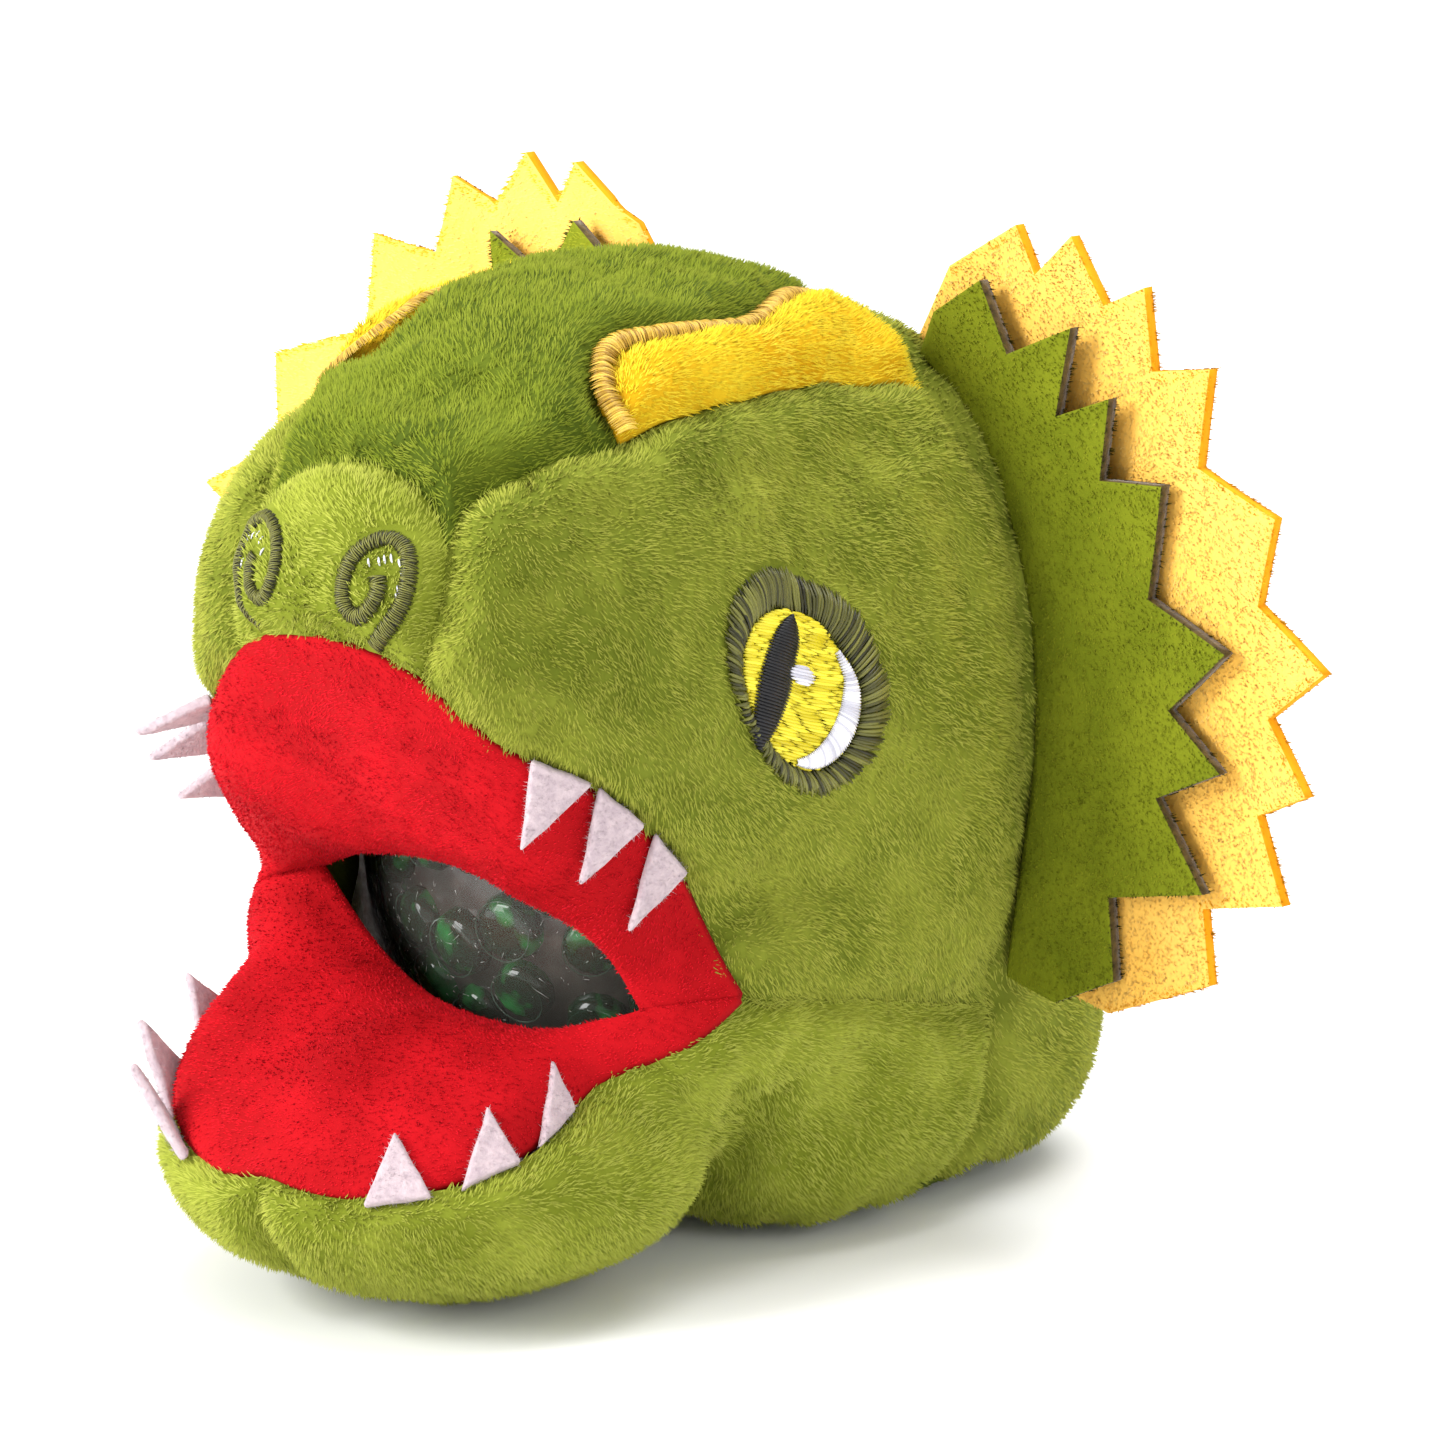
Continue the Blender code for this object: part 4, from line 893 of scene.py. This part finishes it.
def make_tooth(jaw, place, share, lip_curve, side_name, side):
    """A felt triangle cut by hand and sewn in at its base, with soft corners."""
    lean = TOOTH_LEAN[jaw, side_name]
    ends = on_skin(lip_curve(np.array((share - 0.04, share + 0.04))))
    ends -= skin_normals(ends) * (1.0 if side_name == "left" else 1.8)
    along = unit(ends[1] - ends[0])
    middle = ends.mean(0) - unit(lean) * TOOTH_TUCK
    half_base = TOOTH_HALF_BASE
    if side_name == "right":
        middle += TOOTH_SHIFT[jaw]
        half_base = TOOTH_HALF_BASE_RIGHT
    across = unit(np.cross(along, lean)) * FELT_THICKNESS
    corners = [middle - along * half_base, middle + along * half_base,
               middle + lean + unit(lean) * TOOTH_TUCK]
    name = f"{jaw}_tooth_{place}_{side_name}_felt"
    builder = bmesh.new()
    face = builder.faces.new([builder.verts.new(c - across / 2) for c in corners])
    grown = bmesh.ops.extrude_face_region(builder, geom=[face])
    top = [item for item in grown["geom"] if isinstance(item, bmesh.types.BMVert)]
    bmesh.ops.translate(builder, vec=across, verts=top)
    bmesh.ops.bevel(builder, geom=builder.edges[:], offset=FELT_ROUNDING, segments=3, profile=0.5,
                    affect="EDGES", material=-1)
    bmesh.ops.triangulate(builder, faces=builder.faces[:])
    bmesh.ops.subdivide_edges(builder, edges=[e for e in builder.edges if e.calc_length() > 0.8],
                              cuts=5, use_grid_fill=True)
    bmesh.ops.triangulate(builder, faces=builder.faces[:])
    bmesh.ops.scale(builder, vec=(side, 1, 1), verts=builder.verts[:])
    bmesh.ops.recalc_face_normals(builder, faces=builder.faces[:])
    mesh = to_mesh(name, builder)
    places = places_of(mesh)
    uneven = 0.09 * ripples(places, 1.1, 41)
    flip = np.array((side, 1, 1))
    bow = across / np.linalg.norm(across) * flip
    tip = np.clip(((places - middle * flip) @ (lean * flip)) / (lean @ lean), 0, 1)
    curl = 0.5 * tip ** 2 * ripple(middle[None] * flip, 9, 44)
    set_places(mesh, places + uneven + bow * curl[:, None])
    fuzz = pile_on(name + "_fuzz", face_triangles(mesh), FELT_WHITE, length=0.7, width=0.05, density=9,
                   nap=(0, 0, 0), rough=1.4)
    node = f"{jaw}_tooth_{place}_{side_name}"
    carry = with_head if jaw == "upper" else with_jaw
    stand_in(to_piece(name, mesh, FELT_WHITE), carry, node)
    trim(fuzz, carry)


def make_mouth():
    upper_lip = UPPER_LIP_FRONT + UPPER_LIP_SIDE[1:]
    make_lining("palate_lining_plush", upper_lip, SLIT_TOP, PALATE_BOW, -0.25, "upper_mouth_lining",
                with_head, 51)
    make_lining("tongue_lining_plush", LOWER_LIP, SLIT_BOTTOM, TONGUE_BOW, 0.25, "lower_mouth_lining",
                across_lining, 61)
    for jaw, lip in (("upper", upper_lip), ("lower", LOWER_LIP)):
        lip_curve = smooth_curve(lip)
        for place, share in TOOTH_PLACES[jaw].items():
            for side_name, side in SIDES:
                make_tooth(jaw, place, share, lip_curve, side_name, side)


# --- embroidery ------------------------------------------------------------------------------------


def stitched(name, starts, ends, height, arch, width, finish, side=1, flat=0.75, shades=None, lie=None):
    """Threads from starts to ends, lying height above the cloth and arching up in the middle."""
    count = len(starts)
    lie = lie or dressed

    def put(points):
        x, y, z = own_axes(points)
        steps, step_of = np.unique(points[:, 2].round(5), return_inverse=True)
        straight = starts[:, None] * (1 - steps[:, None]) + ends[:, None] * steps[:, None]
        skin = on_skin(straight)
        line = lie(skin.reshape(-1, 3)).reshape(skin.shape)[:, step_of]
        out = skin_normals(skin)[:, step_of]
        run = unit(ends - starts)[:, None]
        aside = unit(np.cross(out, run))
        rise = height + arch * np.sin(math.pi * z) + y * width * flat
        return (line + out * rise + aside * (x * width)) * (side, 1, 1)

    thread_piece = sown(name, stitch_shape(), put, count, finish, shades)
    if side < 0:
        thread_piece.data.flip_normals()
    return thread_piece


def joined(name, pieces):
    """Several pieces as one."""
    bpy.ops.object.select_all(action="DESELECT")
    for piece in pieces:
        piece.select_set(True)
    bpy.context.view_layer.objects.active = pieces[0]
    bpy.ops.object.join()
    pieces[0].name = name
    return pieces[0]


def eye_place(aside, up):
    return EYE_SPOT + EYE_SIDE * aside[:, None] + EYE_UP * up[:, None]


def oval(middle, half, angle, slant=EYE_SLANT):
    aside = half[0] * np.cos(angle)
    return middle[0] + aside, middle[1] + half[1] * np.sin(angle) + slant * aside


def make_eye(side_name, side):
    """A satin-stitched olive rim, a yellow iris filled with rows of stitches, a slit pupil, a crescent
    highlight and a small glint."""
    jitter = CHANCE.uniform
    rim = []
    for layer, count, height in ((0, 130, 0.15), (1, 175, 0.42)):
        angle = np.linspace(0, math.tau, count, endpoint=False) + jitter(-0.01, 0.01, count)
        grow = 1 + jitter(-0.035, 0.035, count)
        inner = oval(EYE_INNER[0], np.array(EYE_INNER[1])[:, None] * (1 + jitter(-0.02, 0.03, count)), angle)
        outer = oval(EYE_OUTER[0], np.array(EYE_OUTER[1])[:, None] * grow, angle + 0.05 * layer)
        rim.append(stitched("rim", eye_place(*inner), eye_place(*outer), height, 0.42, THREAD / 2 * 1.15,
                            OLIVE_THREAD, side))
    rim = joined("eye_rim_stitches_" + side_name, rim)
    iris = []
    for layer, gap, height in ((0, 0.42, 0.1), (1, 0.31, 0.34)):
        half = np.array(EYE_INNER[1])
        rows = np.arange(-half[1] * 0.98, half[1] * 0.98, gap)
        starts, ends = [], []
        for row in rows:
            reach = half[0] * math.sqrt(max(1 - (row / half[1]) ** 2, 0))
            cuts = np.arange(-reach - jitter(0, IRIS_STITCH), reach, IRIS_STITCH)
            edges = np.unique(np.clip(np.append(cuts, reach), -reach, reach))
            for low, high in zip(edges, edges[1:]):
                if high - low > 0.35:
                    starts.append((EYE_INNER[0][0] + low, EYE_INNER[0][1] + row + EYE_SLANT * low))
                    ends.append((EYE_INNER[0][0] + high, EYE_INNER[0][1] + row + EYE_SLANT * high))
        starts, ends = np.array(starts), np.array(ends)
        iris.append(stitched("iris", eye_place(*starts.T), eye_place(*ends.T), height, 0.1, THREAD / 2 * 1.1,
                             YELLOW_THREAD, side))
    iris = joined("eye_iris_stitches_" + side_name, iris)

    def leaning(aside, up):
        cosine, sine = math.cos(PUPIL_LEAN), math.sin(PUPIL_LEAN)
        return PUPIL_MIDDLE[0] + aside * cosine - up * sine, PUPIL_MIDDLE[1] + aside * sine + up * cosine

    count = 44
    rise = np.linspace(-PUPIL_HALF[1], PUPIL_HALF[1], count)
    reach = PUPIL_HALF[0] * np.sqrt(np.clip(1 - (rise / PUPIL_HALF[1]) ** 2, 0.02, 1))
    pupil = stitched("eye_pupil_stitches_" + side_name, eye_place(*leaning(-reach, rise)),
                     eye_place(*leaning(reach, rise + 0.15)), 0.62, 0.3, THREAD / 2 * 1.2, BLACK_THREAD, side)
    count = 62
    angle = np.radians(np.linspace(38, -98, count))
    width = 0.4 + 2.3 * np.sin(np.linspace(0.05, 0.97, count) * math.pi) ** 0.8
    half = np.array(EYE_INNER[1])
    inner = oval(EYE_INNER[0], half[:, None] * (1 - width / half[0]), angle)
    outer = oval(EYE_INNER[0], half[:, None] * 0.98, angle)
    crescent = stitched("eye_highlight_stitches_" + side_name, eye_place(*inner), eye_place(*outer), 0.6, 0.3,
                        THREAD / 2 * 1.1, GREY_THREAD, side)
    rows = np.linspace(-0.75, 0.75, 6)
    reach = 1.9 * np.sqrt(np.clip(1 - (rows / 0.9) ** 2, 0.1, 1))
    glint = stitched("eye_glint_stitches_" + side_name, eye_place(-0.9 - reach, 0.5 + rows + 0.3 * reach),
                     eye_place(-0.9 + reach, 0.5 + rows - 0.3 * reach), 0.8, 0.15, THREAD / 2,
                     GREY_THREAD, side)
    for piece, part in ((rim, "rim"), (iris, "iris"), (pupil, "pupil"), (crescent, "highlight"),
                        (glint, "glint")):
        stand_in(piece, with_head, f"eye_{part}_{side_name}")


def make_nostril(side_name, side):
    """One satin column of olive thread that runs up from the lip, over, down and in, like a shell."""

    def place(flat):
        return NOSTRIL_SPOT + NOSTRIL_SIDE * flat[:, :1] + NOSTRIL_UP * flat[:, 1:2]

    line_at = smooth_curve(NOSTRIL_LINE)
    node = "nostril_swirl_" + side_name
    columns = []
    for layer, count, height in ((0, 200, 0.1), (1, 135, 0.28)):
        share = np.linspace(0.06, 0.996, count)
        middle = line_at(share)
        run = unit(line_at(share + 0.01) - line_at(share - 0.01))
        across = np.stack([-run[:, 1], run[:, 0], 0 * share], -1)
        slant = run * CHANCE.uniform(-0.1, 0.25, count)[:, None]
        reach = NOSTRIL_STROKE / 2 * (1 + CHANCE.uniform(-0.12, 0.12, count))[:, None] * (1 - 0.15 * layer)
        # Painted highlight: the top layer's stitches take lighter shades of the olive thread, as glints over
        # the dark bottom layer.
        shades = CHANCE.uniform(0.6 * layer, 0.2 + 0.9 * layer, count)
        columns.append(stitched("nostril", place(middle - across * reach - slant),
                                place(middle + across * reach + slant), height, 0.35,
                                THREAD / (3 + 2 * layer), OLIVE_THREAD, side, shades=shades))
    stand_in(joined("nostril_stitches_" + side_name, columns), with_head, node)
    loose = np.array(NOSTRIL_LINE[3:9]) * (0.62, 0.72, 1)
    spots = smooth_curve(loose)(np.linspace(0, 1, 9)) + CHANCE.normal(0, 0.2, (9, 3)) * (1, 1, 0)
    pale = stitched("nostril_pale_stitches_" + side_name, place(spots), place(spots + (0.3, -0.9, 0)),
                    0.1, 0.1, THREAD / 3, GREY_THREAD, side)
    trim(pale, with_head)


def make_crest_edging(side_name, side):
    """Gold satin stitches over the front and inner seams of the yellow crest."""
    line_at = smooth_curve(CREST_FRONT + CREST_INNER[1:])
    count = 330
    share = np.linspace(0.005, 0.9, count) + CHANCE.uniform(-0.0012, 0.0012, count)
    line = on_skin(line_at(share))
    run = unit(line_at(share + 0.01) - line_at(share - 0.01))
    aside = unit(np.cross(skin_normals(line), run))
    outer = line + aside * CHANCE.uniform(0.5, 0.9, count)[:, None]
    inner = line - aside * CHANCE.uniform(1.3, 1.9, count)[:, None]
    edging = stitched("crest_gold_stitches_" + side_name, outer, inner, -0.2, 0.6, THREAD / 3, GOLD_THREAD,
                      side, lie=on_skin)
    trim(edging, with_head)


# --- frill -----------------------------------------------------------------------------------------


def frill_root_x(z, layer_y):
    """Where the flap's plane leaves the head at a height."""
    near, far = np.full(len(z), 5.0), np.full(len(z), 50.0)
    for _ in range(20):
        middle = (near + far) / 2
        spots = np.stack([middle, layer_y + FRILL_SLOPE * (middle - FRILL_TOP_X), z], -1)
        within = skin_value(spots) < 0
        near, far = np.where(within, middle, near), np.where(within, far, middle)
    return near


def make_flap(colour, edge, layer_y, side_name, side, swing, wave_seed):
    """One zigzag flap of the frill, sewn in behind the cheek."""
    edge = np.array(edge, float)
    name = f"{colour}_frill_plush_{side_name}"
    per = 9
    mesh, s, t = grid_sheet(name, ((len(edge) - 1) * per, 34))
    place = s * (len(edge) - 1)
    i = np.minimum(place.astype(int), len(edge) - 2)
    rim = edge[i] + (edge[i + 1] - edge[i]) * (place - i)[:, None]
    root_z = FRILL_HEAD - (FRILL_HEAD - FRILL_FOOT) * s
    root = np.stack([frill_root_x(root_z, layer_y) - 0.6, root_z], -1)
    flat = root * (1 - t)[:, None] + rim * t[:, None]

    def placed(spots):
        x, z = spots[:, 0], spots[:, 1]
        rise = np.clip((z - 56) / 42, 0, 1)
        out = np.clip((x - 22) / 20, 0, 1)
        y = (layer_y + FRILL_SLOPE * (x - FRILL_TOP_X) + swing * rise ** 2 * (3 - 2 * rise) * out
             + out * 0.9 * ripple(np.stack([x, z, 0 * z], -1), 17, wave_seed))
        return np.stack([x * side, y, z], -1)

    places = placed(flat)
    set_places(mesh, places)
    front = np.tile((0, -1.0, 0), (len(places), 1))
    face_outward(mesh, front)
    triangles, normals = face_triangles(mesh)
    rim_line = placed(edge)

    def near_rim(roots):
        across = polyline_distance(roots, rim_line)
        return np.sqrt(np.maximum(across ** 2 - (FRILL_CLOTH / 2) ** 2, 0))

    half = normals * (FRILL_CLOTH / 2)
    sheets = ((triangles + half, normals), ((triangles - half)[:, ::-1], -normals[:, ::-1]))
    finish = FRILL_GREEN if colour == "green" else FRILL_YELLOW
    # The yellow flap's edge band takes the orange painted shade; the green flap's dark edge is its singed
    # cut.
    rim_finish, rim_width = (SINGED_GREEN, 0.35) if colour == "green" else (FRILL_EDGE_SHADE_ORANGE, 0.9)
    nap = (0.4 * side, 0.0, -0.1)
    piles = []
    for face, sheet in zip(("front", "back"), sheets):
        density = FRILL_DENSITY if face == "front" else PILE_DENSITY_BEHIND
        piles.append(pile_on(f"{name}_{face}_pile", sheet, finish, length=FRILL_PILE, width=0.15,
                             density=density, nap=nap, keep=lambda roots: near_rim(roots) > rim_width))
        piles.append(pile_on(f"{name}_{face}_edge_pile", sheet, rim_finish, length=FRILL_PILE, width=0.12,
                             density=EDGE_DENSITY, nap=(0.9 * side, 0, 0),
                             keep=lambda roots: near_rim(roots) < rim_width))
    builder = bmesh.new()
    builder.from_mesh(mesh)
    bmesh.ops.translate(builder, vec=(0, -FRILL_CLOTH / 2, 0), verts=builder.verts[:])
    before = set(builder.faces)
    bmesh.ops.solidify(builder, geom=builder.faces[:], thickness=FRILL_CLOTH)
    bmesh.ops.recalc_face_normals(builder, faces=builder.faces[:])
    builder.normal_update()
    for face in builder.faces:
        if face not in before and abs(face.normal.y) < 0.5:
            face.material_index = 1
    build_into(mesh, builder)
    flap = to_piece(name, mesh, finish)
    # Cut sides: singed brown on the green flap, orange painted shade on the yellow flap.
    mesh.materials.append(CUT_BROWN if colour == "green" else FRILL_EDGE_SHADE_ORANGE)
    for piece in (flap, *piles):
        across_frill(piece, side_name)
        share_slot(piece)
    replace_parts(flap, f"{colour}_frill_{side_name}")


def make_frill():
    for side_name, side, swing in (("left", 1, 0.0), ("right", -1, FRILL_SWING)):
        make_flap("green", GREEN_EDGE, GREEN_Y, side_name, side, swing, 71 + side)
        make_flap("yellow", YELLOW_EDGE, YELLOW_Y, side_name, side, swing, 81 + side)


# --- squeeze ball and filling ----------------------------------------------------------------------


def ball_shell(name, radius, segments, finish):
    """A smooth ball round the centre of the squeeze ball."""
    ball = started(bmesh.ops.create_uvsphere, u_segments=segments, v_segments=segments * 2 // 3,
                   radius=radius)
    mesh = to_mesh(name, ball)
    set_places(mesh, places_of(mesh) + BALL_CENTRE)
    return to_piece(name, mesh, finish)


def make_ball():
    """A clear skin round water, gel beads that press against it, their rims, and lint on the outside."""
    stand_in(ball_shell("ball_skin_clear", BALL_RADIUS, 96, CLEAR_SKIN), with_ball, "ball_skin")
    # The water ball is opaque and dark grey: painted shade inside the ball.
    trim(ball_shell("ball_water", BALL_RADIUS - WATER_INSET, 72, GEL_WATER_PAINTED_SHADE), with_ball)
    count = BEAD_COUNT
    k = np.arange(count) + 0.5
    tilt, turn = np.arccos(1 - 2 * k / count), math.pi * (1 + 5 ** 0.5) * k
    out = np.stack([np.sin(tilt) * np.cos(turn), np.cos(tilt), np.sin(tilt) * np.sin(turn)], -1)
    out = unit(out + CHANCE.normal(0, 0.02, (count, 3)))
    aside = unit(np.cross(out, (0.3, 0.2, 1.0)))
    other = np.cross(out, aside)
    size = CHANCE.uniform(*BEAD_SIZES, count)[:, None, None]
    bead = started(bmesh.ops.create_uvsphere, u_segments=12, v_segments=8, radius=1)
    for vert in bead.verts:
        vert.co.z = min(vert.co.z, 0.55)

    def put(points):
        x, y, z = own_axes(points)
        middle = BALL_CENTRE + out[:, None] * (BALL_RADIUS - 0.9 - 0.55 * size)
        return (middle + (aside[:, None] * x + other[:, None] * y + out[:, None] * z) * size)

    stand_in(sown("ball_gel_beads", bead, put, count, GEL_BEADS), with_ball, "ball_filling")
    ring = started(bmesh.ops.create_circle, segments=20, radius=1.0)
    for vert in bmesh.ops.extrude_edge_only(ring, edges=ring.edges[:])["geom"]:
        if isinstance(vert, bmesh.types.BMVert):
            vert.co *= 1.035
            vert.co.z += 0.02
    bmesh.ops.solidify(ring, geom=ring.faces[:], thickness=0.02)
    bmesh.ops.recalc_face_normals(ring, faces=ring.faces[:])

    def put_ring(points):
        x, y, z = own_axes(points)
        middle = BALL_CENTRE + out[:, None] * (BALL_RADIUS - 0.75)
        wide = size * 0.86
        return middle + (aside[:, None] * x + other[:, None] * y + out[:, None] * z) * wide

    trim(sown("ball_bead_rims", ring, put_ring, count, BEAD_RIM), with_ball)
    specks = LINT_COUNT
    forward = unit(CHANCE.normal(0, 1, (specks, 3)) * (0.55, 0.3, 0.35) + (0, -1, 0))
    run = unit(np.cross(forward, CHANCE.normal(0, 1, (specks, 3))))
    width_way = np.cross(forward, run)
    reach = np.exp(CHANCE.normal(-1.5, 0.8, specks)).clip(0.06, 2.0)[:, None, None]
    bend = CHANCE.normal(0, 0.25, specks)[:, None, None]

    def put_lint(points):
        x, y, z = own_axes(points)
        on_ball = unit(forward[:, None] + (run[:, None] * z + width_way[:, None] * bend * z ** 2) * reach
                       / BALL_RADIUS)
        return (BALL_CENTRE + on_ball * (BALL_RADIUS + 0.04)
                + (width_way[:, None] * x + forward[:, None] * y) * LINT_WIDTH)

    trim(sown("ball_lint", tuft_shape(), put_lint, specks, LINT), with_ball)
    frame["nodes"]["ball_plug"].data.materials[0] = CLEAR_SKIN


def make_filling():
    """The fibre filling inside the head and the jaw, which shows nowhere."""
    for node, carry in (("head_filling", with_head), ("jaw_filling", with_jaw)):
        mesh = frame["nodes"][node].data.copy()
        builder = bmesh.new()
        builder.from_mesh(mesh)
        bmesh.ops.remove_doubles(builder, verts=builder.verts[:], dist=1e-5)
        bmesh.ops.scale(builder, vec=(0.96, 0.96, 0.96), verts=builder.verts[:])
        build_into(mesh, builder)
        mesh.materials.clear()
        filling = to_piece(node + "_fibre", mesh, FILLING, in_millimetres=False)
        stand_in(filling, carry, node)


# --- stage -----------------------------------------------------------------------------------------


def make_stage():
    """Floor, room light, four lamps and the camera."""
    material, _, shader = new_finish("pale_floor", Base_Color=(0.94, 0.94, 0.94, 1), Roughness=0.9)
    builder = started(bmesh.ops.create_grid, x_segments=1, y_segments=1, size=3.0)
    floor = to_piece("floor", to_mesh("floor", builder), material, in_millimetres=False)
    world = bpy.data.worlds.new("soft_white_room")
    bpy.context.scene.world = world
    world.use_nodes = True
    world.node_tree.nodes["Background"].inputs["Color"].default_value = (1, 1, 1, 1)
    world.node_tree.nodes["Background"].inputs["Strength"].default_value = 0.8
    aim = Vector((0, -0.02, 0.045))
    for name, place, size, power in (("key", (-0.45, -0.85, 0.55), 0.5, 13.0),
                                     ("low", (-0.5, -0.8, 0.12), 0.3, 2.5),
                                     ("top", (0.1, 0.15, 0.9), 0.7, 8.0),
                                     ("side", (0.85, -0.15, 0.35), 0.5, 2.0)):
        light = bpy.data.lights.new(name, "AREA")
        light.size = size
        light.energy = power
        lamp = in_scene(name, light)
        lamp.location = place
        lamp.rotation_euler = (aim - Vector(place)).to_track_quat("-Z", "Y").to_euler()
    camera = in_scene("camera", bpy.data.cameras.new("camera"))
    azimuth, elevation, distance = math.radians(38), math.radians(14), 0.7
    target = Vector((-0.0034, 0, 0.044))
    back = Vector((math.sin(azimuth) * math.cos(elevation), -math.cos(azimuth) * math.cos(elevation),
                   math.sin(elevation)))
    camera.location = target + back * distance
    camera.rotation_euler = (-back).to_track_quat("-Z", "Y").to_euler()
    camera.data.sensor_width = 36
    camera.data.lens = 36 * distance / 0.1455
    bpy.context.scene.camera = camera
    bpy.context.scene.view_settings.view_transform = "Standard"


make_stage()
make_head_cloth()
make_base()
make_mouth()
for eye_side, eye_sign in SIDES:
    make_eye(eye_side, eye_sign)
    make_nostril(eye_side, eye_sign)
    make_crest_edging(eye_side, eye_sign)
make_frill()
make_ball()
make_filling()
